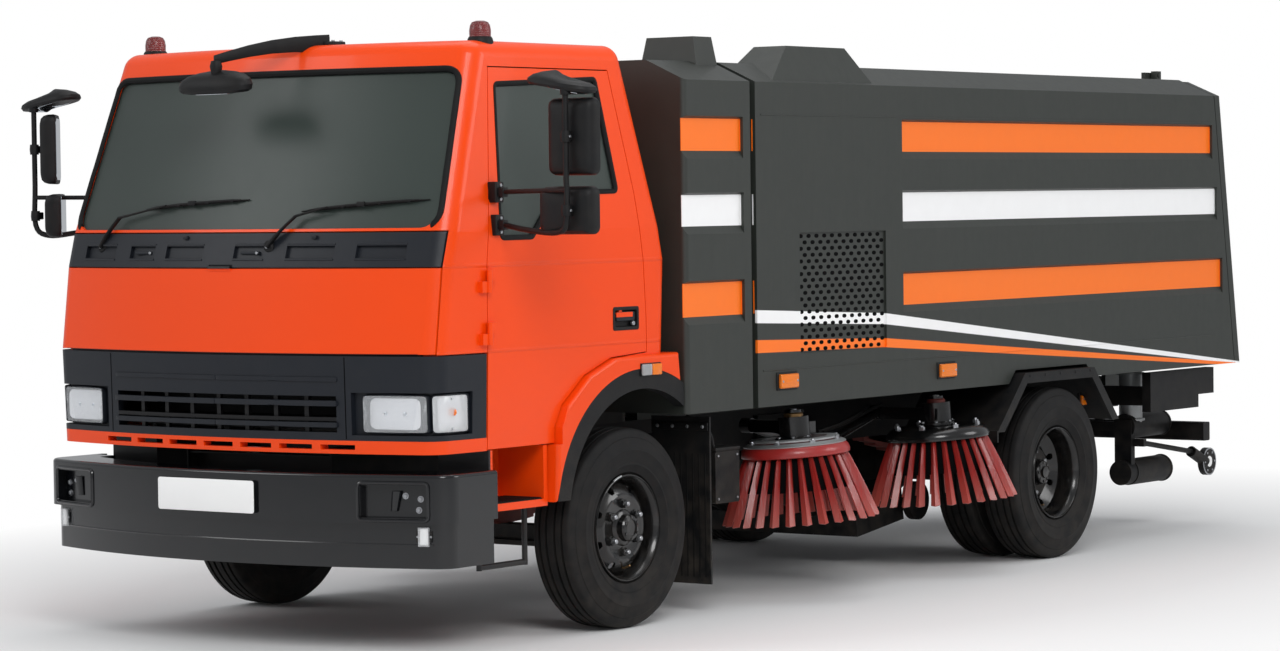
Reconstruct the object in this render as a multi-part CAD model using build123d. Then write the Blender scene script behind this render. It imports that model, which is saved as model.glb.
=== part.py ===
"""Street sweeper truck: a forward-control two-axle lorry with a tipping sweeper body and four disc brushes.

Millimetres.  X points to the truck's left, Y to its rear and Z up.  Every piece is drawn with Y measured
from the front axle and Z from the ground; save() then moves it so that the origin is the middle of the
overall box at ground level.
"""
import math
import os

from build123d import *

# ---------------------------------------------------------------- driving dimensions
WHEELBASE = 3500
FRONT_OVERHANG = 1465      # front axle to the bumper's nose
REAR_OVERHANG = 2190       # rear axle to the drain valve's cap
CONTACT = 0.3              # clearance between pieces that rest on each other or turn on a pin
SHUT_GAP = 5               # gap round a door, a lid or a trim panel

TYRE_R = 425
TYRE_W = 232
RIM_R = 215                # bead seat
FLANGE_R = 229             # outer edge of the rim
RIM_T = 12
RIM_W = 180                # over the flanges
BOLT_FACE_R = 150          # flat middle of the wheel disc
HAND_HOLES, HAND_HOLE_R = 8, 17
FRONT_TRACK = 1912         # between the middles of the front tyres
REAR_TWIN_OUT = 1030       # centre line to the middle of an outer rear tyre
TWIN_SPACING = 262         # between the middles of two twin tyres
AXLE_END_X = 645           # centre line to the end of the rear axle's tube
KINGPIN_X = 790
KINGPIN_R = 42
AXLE_EYE_Z0, AXLE_EYE_Z1 = 360, 470        # front axle's kingpin eye
TIE_Y = 170                # tie rod behind the kingpins
TIE_R = 16
TIE_ARM_DROP = 24          # steering arm's top below the axle eye, so that it swings under the beam

RAIL_OUT = 400             # half the ladder frame's width
RAIL_H = 190
RAIL_W = 65
RAIL_T = 8
RAIL_TOP = 810
FRAME_FRONT = -1150
FRAME_REAR = 5290
CROSS_H, CROSS_W, CROSS_T = 130, 60, 8
CROSS_Z = 650              # underside of a crossmember

CAB_WALL = 45
CAB_FLOOR_Z = 905          # underside of the footwell floor
CAB_DECK_Z = 1085          # underside of the deck under the seats
CAB_FLOOR_T = 40
DECK_Y = -520              # front of the riser between the footwell and the deck
TUNNEL_HALF = 360
GLASS_T = 8
GLASS_INSET = 12

BODY_HALF_W = 1100         # sweeper body, half width
BODY_WALL = 40
BODY_BOTTOM = 885
BODY_SHOULDER_Z = 2320
BODY_ROOF_Z = 2410
BODY_ROOF_HALF_W = 900
HOUSE_Y0, HOUSE_Y1 = 370, 867
HOPPER_Y0 = 908
HOPPER_TOP_REAR = 5240
HOPPER_LOW_REAR = 5470
DOOR_T = 55
REAR_HINGE_Y, REAR_HINGE_Z = 5275, 2440
REAR_PIN_R = 12
STRIPE_DEPTH = 18
STRIPE_LEDGE = 36          # height of the slope under a recessed stripe
SUBFRAME_W, SUBFRAME_DEEP = 60, 45

TIP_Y, TIP_Z = 5350, 755   # hopper hinge
TIP_PIN_R = 25
TIP_BARREL_Y, TIP_BARREL_Z = 4180, 640     # tipping cylinder's pivot on the frame
TIP_EYE_Y, TIP_EYE_Z = 3000, 835           # tipping rod's eye under the hopper
BARREL_R, BARREL_BORE, PISTON_R = 52, 38, 30
BARREL_LENGTH = 860

NOZZLE_PIVOT_Y, NOZZLE_PIVOT_Z = 1600, 600
NOZZLE_PIVOT_X = 244
NOZZLE_LIFT = 7.5          # degrees the raised nozzle stands above its working place
NOZZLE_HALF_W = 510
NOZZLE_WHEEL_R = 95
SMALL_PIN_R = 12

BRUSH_X = 980
FRONT_BRUSH_Y, REAR_BRUSH_Y = 1370, 2600
BRUSH_TIP_Z = 335
BRUSH_TIP_R = 350
BRUSH_COLLAR_R = 235
BRUSH_TUFTS = 28
BRUSH_CANT = 4             # degrees the brushes lean
ARM_X = 665
ARM_PIVOT_Y = 2010         # middle of the brush carriers
ARM_PIVOT_GAP = 90         # each arm's pivot from that middle
ARM_PIVOT_Z = 640
ARM_PIN_R = 15
ARM_R = 22
ARM_LENGTH = 480
ARM_RAISE = 15             # degrees the raised arm stands above level

Y_MID = (WHEELBASE + REAR_OVERHANG - FRONT_OVERHANG) / 2
RUNNING = 0.3              # radial clearance of the linkage pins


# ---------------------------------------------------------------- small helpers
def box(x0, x1, y0, y1, z0, z1):
    """Box between two corners."""
    return Pos((x0 + x1) / 2, (y0 + y1) / 2, (z0 + z1) / 2) * Box(x1 - x0, y1 - y0, z1 - z0)


def span(side, near, far, y0, y1, z0, z1):
    """Box on one side of the truck, from near to far of the middle plane."""
    x0, x1 = sorted((side * near, side * far))
    return box(x0, x1, min(y0, y1), max(y0, y1), z0, z1)


def rod(start, end, radius):
    """Round bar from one point to another."""
    axis = Vector(*end) - Vector(*start)
    bar = Cylinder(radius, axis.length, align=(Align.CENTER, Align.CENTER, Align.MIN))
    return Plane(origin=start, z_dir=axis) * bar


def crossbar(x0, x1, y, z, radius):
    """Round bar along X."""
    return rod((min(x0, x1), y, z), (max(x0, x1), y, z), radius)


def outline(points, grow=0, soften=0):
    """Flat face inside an outline, with rounded corners, then widened all round by grow."""
    face = make_face(Polyline(*points, close=True))
    if soften:
        face = fillet(face.vertices(), soften)
    return offset(face, amount=grow, kind=Kind.INTERSECTION) if grow else face


def across(points, x0, x1, grow=0, soften=0):
    """Prism along X from an outline of (y, z) points."""
    return extrude(Plane.YZ.offset(x0) * outline(points, grow, soften), x1 - x0)


def lengthwise(points, y0, y1, grow=0, soften=0):
    """Prism along Y from an outline of (x, z) points."""
    plane = Plane(origin=(0, y0, 0), x_dir=(1, 0, 0), z_dir=(0, -1, 0))
    return extrude(plane * outline(points, grow, soften), y0 - y1)


def mirrored(shape):
    """The same piece on the truck's other side."""
    return mirror(shape, about=Plane.YZ)


def both(shape):
    """A piece and its mirror image."""
    return shape + mirrored(shape)


def save(name, shape):
    """Write one node, moved to the truck's origin."""
    moved = Pos(0, -Y_MID, 0) * shape
    solids = moved.solids()
    moved = solids[0] if len(solids) == 1 else Compound(children=list(solids))
    export_step(moved, f"parts/{name}.step")


# ---------------------------------------------------------------- cab body as one tapering form
# z, half width, front corner x, front corner y, front y at the middle, rear y
CAB_SECTIONS = [
    (810, 1048, 1035, -1245, -1392, 262),
    (1200, 1058, 1042, -1255, -1400, 285),
    (1555, 1060, 1044, -1205, -1362, 300),
    (1690, 1055, 1042, -1170, -1322, 275),
    (2460, 981, 974, -897, -1039, 84),
]
CAB_TOP_Z = CAB_SECTIONS[-1][0]
CORNER_R = 95              # plan radius of the cab's front corners
TAPER_R = 900              # plan radius where the front taper meets the side
TAPER_RUN = 265            # length of that taper
REAR_CORNER_R = 70
ROOF_R = 75


def cab_section(row, inset):
    """Closed plan outline of the cab at one height, moved inwards by inset."""
    z, half, cx, cy, fy, ry = row
    half, cx, cy, fy, ry = half - inset, cx - inset, cy + inset, fy + inset, ry - inset
    sy = cy + TAPER_RUN
    face = make_face(Wire([
        ThreePointArc((-cx, cy), (0, fy), (cx, cy)), Line((cx, cy), (half, sy)), Line((half, sy), (half, ry)),
        Line((half, ry), (-half, ry)), Line((-half, ry), (-half, sy)), Line((-half, sy), (-cx, cy))]))
    for y, radius in ((cy, CORNER_R - inset), (sy, TAPER_R), (ry, REAR_CORNER_R - inset)):
        face = fillet([v for v in face.vertices() if abs(v.Y - y) < 1], radius)
    return Pos(0, 0, z - inset if z == CAB_TOP_Z else z) * face


CAB_FORMS = {}


def cab_form(inset):
    """The cab's outer form with its rounded roof edge, or the same form moved inwards."""
    if inset not in CAB_FORMS:
        form = loft([cab_section(row, inset) for row in CAB_SECTIONS], ruled=True)
        if inset in (0, CAB_WALL):
            form = fillet(form.faces().sort_by(Axis.Z)[-1].edges(), ROOF_R - inset)
        CAB_FORMS[inset] = form
    return CAB_FORMS[inset]


def front_y(x, z):
    """Y of the cab's front skin at a height, off the middle by x."""
    for low, high in zip(CAB_SECTIONS, CAB_SECTIONS[1:]):
        if low[0] <= z <= high[0]:
            part = (z - low[0]) / (high[0] - low[0])
            cx, cy, fy = (low[k] + part * (high[k] - low[k]) for k in (2, 3, 4))
    radius = (cx ** 2 + (cy - fy) ** 2) / (2 * (cy - fy))
    return fy + radius - math.sqrt(radius ** 2 - x ** 2)


CAB_OUT = cab_form(0)
CAB_IN = cab_form(CAB_WALL)
WINDOW_PANE = cab_form(GLASS_INSET) - cab_form(GLASS_INSET + GLASS_T)

DOOR_OUTLINE = [(-945, 815), (-945, 1555), (-900, 1850), (-832, 2350), (-35, 2350), (77, 1836), (111, 1555),
                (130, 1300), (130, 1165), (-120, 1150), (-306, 1084), (-459, 968), (-505, 880), (-505, 815)]
WINDOW_OUTLINE = [(-800, 2284), (-126, 2315), (-40, 1845), (-460, 1839), (-645, 1662), (-849, 1661)]
SCREEN_OUTLINE = [(-995, 1708), (995, 1708), (937, 2345), (-937, 2345)]
REAR_WINDOW = [(-430, 1760), (430, 1760), (430, 2180), (-430, 2180)]
SCREEN_ROUND, WINDOW_ROUND = 70, 22
BAND_Z0, BAND_Z1 = 863, 1200               # grille band
LID_Z1 = 1548
COWL_Z1 = 1692
PANEL_X = 1024             # half width of the lid and the cowl
BAND_REAR = -955
TRIM_T = 28                # thickness of the grille band and cowl
LID_T = 6                  # thin enough at its corners to clear the grille band as it swings up
LID_REAR = -1130
LID_FRAME_X, LID_FRAME_H = 500, 70         # half width and height of the stiffener along its top
LAMP_DEPTH = 24
GRILLE_HALF, GRILLE_Z0, GRILLE_Z1 = 600, 895, 1060
LID_HINGE_Y, LID_HINGE_Z = -1366, 1553
LID_HINGE_X, LID_HINGE_R = 60, 7
LID_GAP = 8                # under the lid, whose lower edge swings down a little as it opens
DOOR_HINGE_X, DOOR_HINGE_Y = 1078, -955
HINGE_Z = (1280, 1490)
# middle across the truck, bottom, top, width and depth of each mirror head
MIRROR_HEADS = [(1480, 1905, 2215, 230, 75), (1450, 1672, 1867, 270, 75), (1400, 2235, 2300, 290, 150)]
HINGE_H, HINGE_R = 45, 12
HANDLE_BOX = (-95, 69, 1270, 1350)         # door handle's pocket: front, rear, bottom, top
HANDLE_DEPTH = 26

ARCH_Y, ARCH_Z = 69, 487   # middle of the front wheel arch
ARCH_R = 524
ARCH_LIP = 85              # width of the rubber lip round the arch
LIP_T, LIP_REAR, LIP_FRONT_Z = 56, 364, 576
FLARE_OUTLINE = [(-540, 574), (-524, 890), (-459, 968), (-306, 1084), (-120, 1150), (335, 1154),
                 (352, 1000), (352, 574)]
FLARE_X, FLARE_IN = 1088, 1000
FLARE_ROUND = 20


def skin(z0, z1, half, thickness, rear):
    """Part of the cab's front skin between two heights."""
    return (CAB_OUT - cab_form(thickness)) & box(-half, half, -1600, rear, z0, z1)


def arch_disc(radius, x0, x1):
    """Solid round the middle of the left front wheel arch."""
    return crossbar(x0, x1, ARCH_Y, ARCH_Z, radius)


def cab_shell():
    """Cab walls, roof and wheel arch flares."""
    g = SHUT_GAP
    shell = CAB_OUT - CAB_IN
    shell -= box(-1200, 1200, -1600, -945, BAND_Z0 - CONTACT, BAND_Z1 + g) - cab_form(TRIM_T + CONTACT)
    shell -= box(-PANEL_X - g, PANEL_X + g, -1600, -1000, BAND_Z1, COWL_Z1 + g) - cab_form(TRIM_T + CONTACT)
    shell -= box(-960, 960, -1600, -1000, BAND_Z1 + 40, LID_Z1 - 40)
    shell -= box(-GRILLE_HALF, GRILLE_HALF, -1600, -1000, GRILLE_Z0, GRILLE_Z1)
    for x in (-600, -400, -200, 0, 200, 400, 600):
        shell -= box(x - 80, x + 80, -1600, -1200, 826, 846)
    shell -= lengthwise(SCREEN_OUTLINE, -1600, -700, soften=SCREEN_ROUND)
    shell -= lengthwise(REAR_WINDOW, 0, 500, soften=SCREEN_ROUND)
    for side in (-1, 1):
        shell -= across(DOOR_OUTLINE, side * 700, side * 1200, g)
    shell -= box(-985, 985, DECK_Y + CAB_FLOOR_T, 600, 700, CAB_DECK_Z)
    shell -= both(arch_disc(ARCH_R + ARCH_LIP + 2, 985, 1200))
    shell -= both(box(985, 1200, ARCH_Y, 600, 700, 1020))
    flare = across(FLARE_OUTLINE, FLARE_IN, FLARE_X)
    flare = fillet(flare.faces().sort_by(Axis.X)[-1].edges(), FLARE_ROUND)
    flare -= arch_disc(ARCH_R + ARCH_LIP, 900, 1200)
    flare -= box(900, 1200, ARCH_Y, 600, 500, 1020)
    flare -= across(DOOR_OUTLINE, 900, 1200, g)
    shell += both(flare)
    for z in HINGE_Z:
        knuckle = rod((DOOR_HINGE_X, DOOR_HINGE_Y, z - HINGE_H), (DOOR_HINGE_X, DOOR_HINGE_Y, z), HINGE_R)
        knuckle += box(DOOR_HINGE_X - 13, DOOR_HINGE_X, DOOR_HINGE_Y - 40, DOOR_HINGE_Y, z - HINGE_H, z)
        knuckle += box(DOOR_HINGE_X - 40, DOOR_HINGE_X, DOOR_HINGE_Y - 45, DOOR_HINGE_Y - 15, z - HINGE_H, z)
        shell += both(knuckle)
    save("cab_shell", shell)
    lip = arch_disc(ARCH_R + ARCH_LIP - CONTACT, FLARE_X - LIP_T, FLARE_X - 2) - arch_disc(ARCH_R, 900, 1200)
    lip -= box(900, 1200, LIP_REAR, 900, 0, 1500) + box(900, 1200, -900, 900, -200, LIP_FRONT_Z)
    save("arch_lips", both(lip))


def cab_floor():
    """Bulkhead, footwell floors, riser, deck and engine tunnel, seated between the cab's walls."""
    top = CAB_FLOOR_T
    floor = box(-1000, 1000, -1600, DECK_Y + top, CAB_FLOOR_Z, CAB_FLOOR_Z + top)
    floor += box(-1000, 1000, DECK_Y, DECK_Y + top, CAB_FLOOR_Z, CAB_DECK_Z + top)
    floor += box(-1000, 1000, DECK_Y, -150, CAB_DECK_Z, CAB_DECK_Z + top)
    floor += box(-1200, 1200, -151, 600, CAB_DECK_Z, CAB_DECK_Z + top)
    floor += box(-TUNNEL_HALF, TUNNEL_HALF, -860, DECK_Y + top, CAB_FLOOR_Z, CAB_DECK_Z + top)
    floor += box(-1100, 1100, -1115, -1085, CAB_FLOOR_Z, LID_Z1)
    floor &= CAB_IN
    floor -= box(30 - TUNNEL_HALF, TUNNEL_HALF - 30, -830, DECK_Y + top + 1, 700, CAB_DECK_Z)
    floor -= both(arch_disc(ARCH_R + ARCH_LIP + 2, 985, 1200))
    floor -= both(box(985, 1200, ARCH_Y, 600, 700, 1020))
    floor -= both(across(FLARE_OUTLINE, FLARE_IN, FLARE_X))
    save("cab_floor", floor)


def cab_front():
    """Grille band, cowl, lid, lamps and beacons."""
    g = SHUT_GAP
    band = skin(BAND_Z0, BAND_Z1, 1200, TRIM_T, BAND_REAR)
    band -= box(-GRILLE_HALF, GRILLE_HALF, -1600, -1000, GRILLE_Z0, GRILLE_Z1)
    fins = box(-1000, 1000, -1600, -1000, 940, 955) + box(-1000, 1000, -1600, -1000, 1000, 1015)
    fins += box(-1000, 1000, -1600, -1000, GRILLE_Z1 - 20, GRILLE_Z1 + 5)
    for x in (-450, -300, -150, 0, 150, 300, 450):
        fins += box(x - 10, x + 10, -1600, -1000, GRILLE_Z0 - 5, GRILLE_Z1 + 5) & cab_form(12)
    fins &= box(-GRILLE_HALF - 5, GRILLE_HALF + 5, -1600, -1000, GRILLE_Z0 - 5, GRILLE_Z1 + 5)
    band += (fins & CAB_OUT) - cab_form(TRIM_T)
    band -= both(box(668, 1200, -1600, -1040, 885, 1055)) - cab_form(LAMP_DEPTH)
    save("grille_panel", band)
    cowl = skin(LID_Z1 + g, COWL_Z1, PANEL_X, TRIM_T, -1000)
    for x0, x1 in ((-560, -400), (-330, -110), (60, 220), (330, 560), (660, 880), (-880, -660)):
        cowl -= box(x0, x1, -1600, -1000, 1590, 1640) - cab_form(14)
    slack = LID_HINGE_R + g
    cowl -= box(-LID_HINGE_X - g, LID_HINGE_X + g, -1600, LID_HINGE_Y + slack, LID_Z1, LID_HINGE_Z + slack)
    save("cowl_panel", cowl)
    lid = skin(BAND_Z1 + LID_GAP, LID_Z1, PANEL_X, LID_T, LID_REAR)
    lid += skin(LID_Z1 - LID_FRAME_H, LID_Z1, LID_FRAME_X, TRIM_T, LID_REAR)
    lid += box(-LID_HINGE_X, LID_HINGE_X, LID_HINGE_Y, LID_HINGE_Y + 26, LID_Z1 - 10, LID_Z1 + g - CONTACT)
    lid += crossbar(-LID_HINGE_X, LID_HINGE_X, LID_HINGE_Y, LID_HINGE_Z, LID_HINGE_R)
    save("front_lid", lid)
    lens = cab_form(6) - cab_form(LAMP_DEPTH - CONTACT)
    units = both(lens & box(674, 905, -1600, -1100, 891, 1049))
    units += both(lens & box(915, 1200, -1600, -1046, 891, 1049))
    for x in (-900, 900):
        beacon = rod((x, -770, 2380), (x, -770, 2465), 52) + rod((x, -770, 2400), (x, -770, 2540), 42)
        units += beacon - cab_form(0)
    save("cab_lamps", units)
    wipers = Part()
    for x in (-780, 240):
        root = (x, front_y(x, 1640) - 26, 1640)
        elbow = (x + 110, front_y(x + 110, 1745) - 32, 1745)
        tip = (x + 560, front_y(x + 560, 1800) - 24, 1800)
        wipers += rod((x, front_y(x, 1640) + 20, 1640), (x, root[1] - 16, 1640), 16)
        wipers += rod(root, elbow, 9) + rod(elbow, tip, 8)
    save("wipers", wipers - cab_form(-CONTACT))
    arm = rod((380, -900, 2440), (0, -1375, 2400), 14) + rod((0, -1375, 2405), (0, -1375, 2320), 9)
    head = Pos(0, -1360, 2310) * Box(380, 90, 80)
    head = fillet(head.edges(), 32)
    save("front_mirror", (arm - CAB_OUT) + head)


def cab_glass():
    """Windscreen and rear window."""
    screen = WINDOW_PANE & lengthwise(SCREEN_OUTLINE, -1600, -700, -CONTACT, SCREEN_ROUND)
    rear = WINDOW_PANE & lengthwise(REAR_WINDOW, 0, 500, -CONTACT, SCREEN_ROUND)
    save("cab_glass", screen + rear)


def cab_doors():
    """Doors with their glass and mirrors."""
    hx, hy = DOOR_HINGE_X, DOOR_HINGE_Y
    for side, name in ((1, "left"), (-1, "right")):
        door = (CAB_OUT - CAB_IN) & across(DOOR_OUTLINE, side * 700, side * 1200)
        door -= across(WINDOW_OUTLINE, side * 700, side * 1200, soften=WINDOW_ROUND)
        y0, y1, z0, z1 = HANDLE_BOX
        pocket = span(side, 900, 1200, y0, y1, z0, z1) - cab_form(HANDLE_DEPTH)
        pull = span(side, 900, 1200, y0 + 20, y1 - 30, z1 - 34, z1 - 14)
        pull &= cab_form(2) - cab_form(HANDLE_DEPTH + 4)
        door = door - pocket + (pull & pocket)
        door += span(side, 1020, 1054, y0 + 40, y0 + 60, z1 - 34, z1 + 2)
        for z in HINGE_Z:
            low, high = z + CONTACT, z + HINGE_H
            door += rod((side * hx, hy, low), (side * hx, hy, high), HINGE_R)
            door += span(side, hx - 13, hx, hy, hy + 40, low, high)
            door += span(side, hx - 40, hx, hy + 12, hy + 45, low, high)
        save(f"door_{name}", door)
        opening = across(WINDOW_OUTLINE, side * 700, side * 1200, -CONTACT, WINDOW_ROUND)
        save(f"door_glass_{name}", WINDOW_PANE & opening)
        x = side * 1430
        mirrors = rod((x, -910, 1690), (x, -910, 2290), 11)
        for z in (1714, 1846):
            mirrors += rod((side * 1062, -880, z), (x, -910, z), 9)
            mirrors += span(side, 1000, 1085, -900, -860, z - 45, z + 45)
        for mid, z0, z1, wide, deep in MIRROR_HEADS:
            head = Pos(side * mid, -950, (z0 + z1) / 2) * Box(wide, deep, z1 - z0)
            mirrors += fillet(head.edges(), 24)
        save(f"mirrors_{name}", mirrors - cab_form(-CONTACT))


WHEEL_AT = Vector(-500, -700, 1520)
WHEEL_AXIS = Vector(0, 150, 260).normalized()
SEAT_X = 560


def cab_inside():
    """Dashboard, steering wheel and seats."""
    deck = CAB_DECK_Z + CAB_FLOOR_T
    outline = [(-1200, 1180), (-1085 + CONTACT, 1180), (-1010, 1230), (-975, 1420), (-930, 1500),
               (-960, 1535), (-1200, 1540)]
    dash = across(outline, -1100, 1100, soften=12) & cab_form(CAB_WALL + SHUT_GAP)
    dash -= box(-1200, 1200, -1600, -1085 + CONTACT, 900, LID_Z1)
    column = rod(WHEEL_AT - WHEEL_AXIS * 660, WHEEL_AT - WHEEL_AXIS * (12 + CONTACT), 28)
    column += box(-520, -480, -990, -790, 1350, 1390)
    column -= box(-600, -400, -1200, -700, 800, CAB_FLOOR_Z + CAB_FLOOR_T + CONTACT)
    save("dashboard", dash + column)
    hub = Plane(origin=WHEEL_AT, z_dir=WHEEL_AXIS)
    wheel = hub * Torus(215, 14) + hub * Cylinder(45, 24)
    for turn in (0, 120, 240):
        wheel += hub * Rot(0, 0, turn) * Pos(0, -108, 0) * Box(26, 216, 12)
    save("steering_wheel", wheel)
    seats = Part()
    for x in (-SEAT_X, SEAT_X):
        base = box(x - 180, x + 180, -430, -60, deck, 1210)
        cushion = fillet(box(x - 230, x + 230, -480, -40, 1210 + CONTACT, 1330).edges(), 25)
        outline = [(-130, 1330 + CONTACT), (-20, 1330 + CONTACT), (50, 1930), (-30, 1930)]
        back = across(outline, x - 230, x + 230, soften=25)
        seats += base + cushion + back
    save("cab_seats", seats)


def step_wells():
    """Steps below the doors with their stirrups."""
    well = box(780, 1040, -930, -545, 560, 905 - CONTACT) - box(805, 1100, -905, -570, 590, 1000)
    well -= box(804, 1100, -1000, -500, 810 - CONTACT, 1000)
    for x in (830, 900, 970):
        well -= box(x, x + 30, -890, -585, 550, 600)
    hoop = rod((960, -900, 330), (960, -600, 330), 12) + rod((960, -900, 318), (960, -900, 565), 12)
    hoop += rod((960, -600, 318), (960, -600, 565), 12)
    save("step_wells", both(well + hoop))


# ---------------------------------------------------------------- chassis
def channel(wide, high, wall, length):
    """C-section bar along Y from the origin, its back at x = 0 and its flanges towards +X."""
    return box(0, wide, 0, length, 0, high) - box(wall, wide + 1, -1, length + 1, wall, high - wall)


GUARD_OUTLINE = [(2834, 600), (2880, 660), (3150, 935), (3840, 935), (4090, 660), (4145, 600)]
GUARD_IN, GUARD_OUT, GUARD_T = 620, 1150, 22
CROSS_MEMBERS = [-1110, 730, 1560, 2010, 2900, 4265, 5220]
CAB_MOUNTS = (-900, 150)
CARRIER_HALF, CARRIER_T = 120, 35
BUMPER_SIDE = -950
BUMPER_HALF = 1100
BUMPER_STEP_Z, BUMPER_Z0, BUMPER_Z1 = 540, 360, 735


def bumper_face(inset):
    """Plan of the bumper, moved inwards by inset."""
    half = BUMPER_HALF - inset
    nose = -FRONT_OVERHANG + inset
    side = nose + 205
    front = ThreePointArc((-half, side), (0, nose), (half, side))
    back = Polyline((half, side), (half, BUMPER_SIDE), (-half, BUMPER_SIDE), (-half, side))
    face = make_face(Wire([front, *back.edges()]))
    return fillet([v for v in face.vertices() if abs(v.Y - side) < 1], 90 - inset / 3)


def bumper_slab(inset, z0, z1):
    """Bumper plan as a slab."""
    return extrude(Pos(0, 0, z0) * bumper_face(inset), z1 - z0)


def chassis_frame():
    """Ladder frame with its crossmembers and brackets."""
    low = RAIL_TOP - RAIL_H
    rail = mirrored(channel(RAIL_W, RAIL_H, RAIL_T, FRAME_REAR - FRAME_FRONT))
    frame = both(Pos(RAIL_OUT, FRAME_FRONT, low) * rail)
    half = RAIL_OUT - RAIL_T
    for y in CROSS_MEMBERS:
        beam = Rot(0, 0, -90) * channel(CROSS_W, CROSS_H, CROSS_T, 2 * half)
        frame += Pos(-half, y + CROSS_W / 2, CROSS_Z) * beam
    for side in (-1, 1):
        lug = span(side, RAIL_OUT, RAIL_OUT + 30, 5150, TIP_Y + 45, low + 20, TIP_Z + 45)
        bore = crossbar(side * (RAIL_OUT - 5), side * (RAIL_OUT + 40), TIP_Y, TIP_Z, TIP_PIN_R + RUNNING)
        frame += lug - bore
        y0, y1 = ARM_PIVOT_Y - CARRIER_HALF, ARM_PIVOT_Y + CARRIER_HALF
        frame += span(side, RAIL_OUT, ARM_X - 33, y0, y1, ARM_PIVOT_Z - CARRIER_T, ARM_PIVOT_Z + CARRIER_T)
        frame += span(side, RAIL_OUT, RAIL_OUT + 25, y0, y1, ARM_PIVOT_Z - CARRIER_T, RAIL_TOP - 30)
        for way in (-1, 1):
            y = ARM_PIVOT_Y + way * ARM_PIVOT_GAP
            frame += crossbar(side * (ARM_X - 34), side * (ARM_X + 34), y, ARM_PIVOT_Z, ARM_PIN_R)
        y, z = NOZZLE_PIVOT_Y, NOZZLE_PIVOT_Z
        frame += span(side, NOZZLE_PIVOT_X + 18, NOZZLE_PIVOT_X + 38, y - 30, y + 30, z - 30, CROSS_Z + 10)
        frame += crossbar(side * (NOZZLE_PIVOT_X - 18), side * (NOZZLE_PIVOT_X + 20), y, z, SMALL_PIN_R)
        for y, floor_z in zip(CAB_MOUNTS, (CAB_FLOOR_Z, CAB_DECK_Z)):
            frame += span(side, RAIL_OUT - 60, RAIL_OUT, y - 50, y + 50, RAIL_TOP, floor_z - CONTACT)
        frame += span(side, ENGINE_HALF + CONTACT, RAIL_OUT - RAIL_T, -700, -640, 640, 700)
        for y in (4420, 4820):
            frame += span(side, TANK_HALF + CONTACT, RAIL_OUT - 30, y - 25, y + 25, low - 20, low + 10)
    lug = box(56, 84, TIP_BARREL_Y - 40, CROSS_MEMBERS[5] + 10, TIP_BARREL_Z - 40, CROSS_Z + 50)
    frame += both(lug) + crossbar(-70, 70, TIP_BARREL_Y, TIP_BARREL_Z, ARM_PIN_R)
    save("chassis_frame", frame)


def front_bumper():
    """Two-part bumper with a ledge on top and recesses for the fog lamps."""
    bumper = bumper_slab(0, BUMPER_STEP_Z, BUMPER_Z1)
    rim = bumper.faces().sort_by(Axis.Z)[-1].edges()
    bumper = fillet(rim.filter_by(lambda edge: edge.center().Y < BUMPER_SIDE - 60), 14)
    bumper += bumper_slab(22, BUMPER_Z0, BUMPER_STEP_Z + 1)
    bumper -= bumper_slab(42, BUMPER_Z0 - 1, BUMPER_Z1 - 20)
    bumper -= box(42 - BUMPER_HALF, BUMPER_HALF - 42, BUMPER_SIDE - 60, BUMPER_SIDE + 10,
                  BUMPER_Z0 - 1, BUMPER_Z1 + 1)
    bumper -= bumper_slab(150, BUMPER_Z1 - 30, BUMPER_Z1 + 1)
    for side in (-1, 1):
        pocket = span(side, 740, 1010, -1600, -1000, 562, 692)
        bumper -= pocket - bumper_slab(30, 500, 800)
        bumper += span(side, RAIL_OUT - 60, RAIL_OUT, FRAME_FRONT - 270, FRAME_FRONT - CONTACT, 640, 700)
    save("front_bumper", bumper)


ENGINE_HALF, ENGINE_TOP = 300, 1060
TANK_HALF = 330


def driveline():
    """Engine with its gearbox, propeller shaft, auxiliary engine, tank and battery box."""
    engine = box(-ENGINE_HALF, ENGINE_HALF, -800, 120, 520, ENGINE_TOP) + box(-170, 170, 120, 700, 520, 780)
    engine -= box(-ENGINE_HALF - 1, ENGINE_HALF + 1, -140, 140, 300, 560)
    shaft = rod((0, 690, 585), (0, WHEELBASE - 176, 480), 42)
    shaft += rod((0, 690, 585), (0, 760, 582), 62)
    save("driveline", engine + shaft)
    battery = box(RAIL_OUT + CONTACT, 1000, 715, 900, 470, 700)
    save("battery_box", fillet(battery.edges().filter_by(Axis.X), 12))
    tank = fillet(box(-TANK_HALF, TANK_HALF, 4330, 4900, 420, 648).edges().filter_by(Axis.X), 50)
    save("fuel_tank", tank)
    save("auxiliary_engine", box(-430, 430, HOUSE_Y0 + 60, HOUSE_Y1 - 60, RAIL_TOP + CONTACT, 1600))


LEAVES, LEAF_T = 5, 12
SPRING_X0, SPRING_X1 = RAIL_OUT - 70, RAIL_OUT - 5


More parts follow.
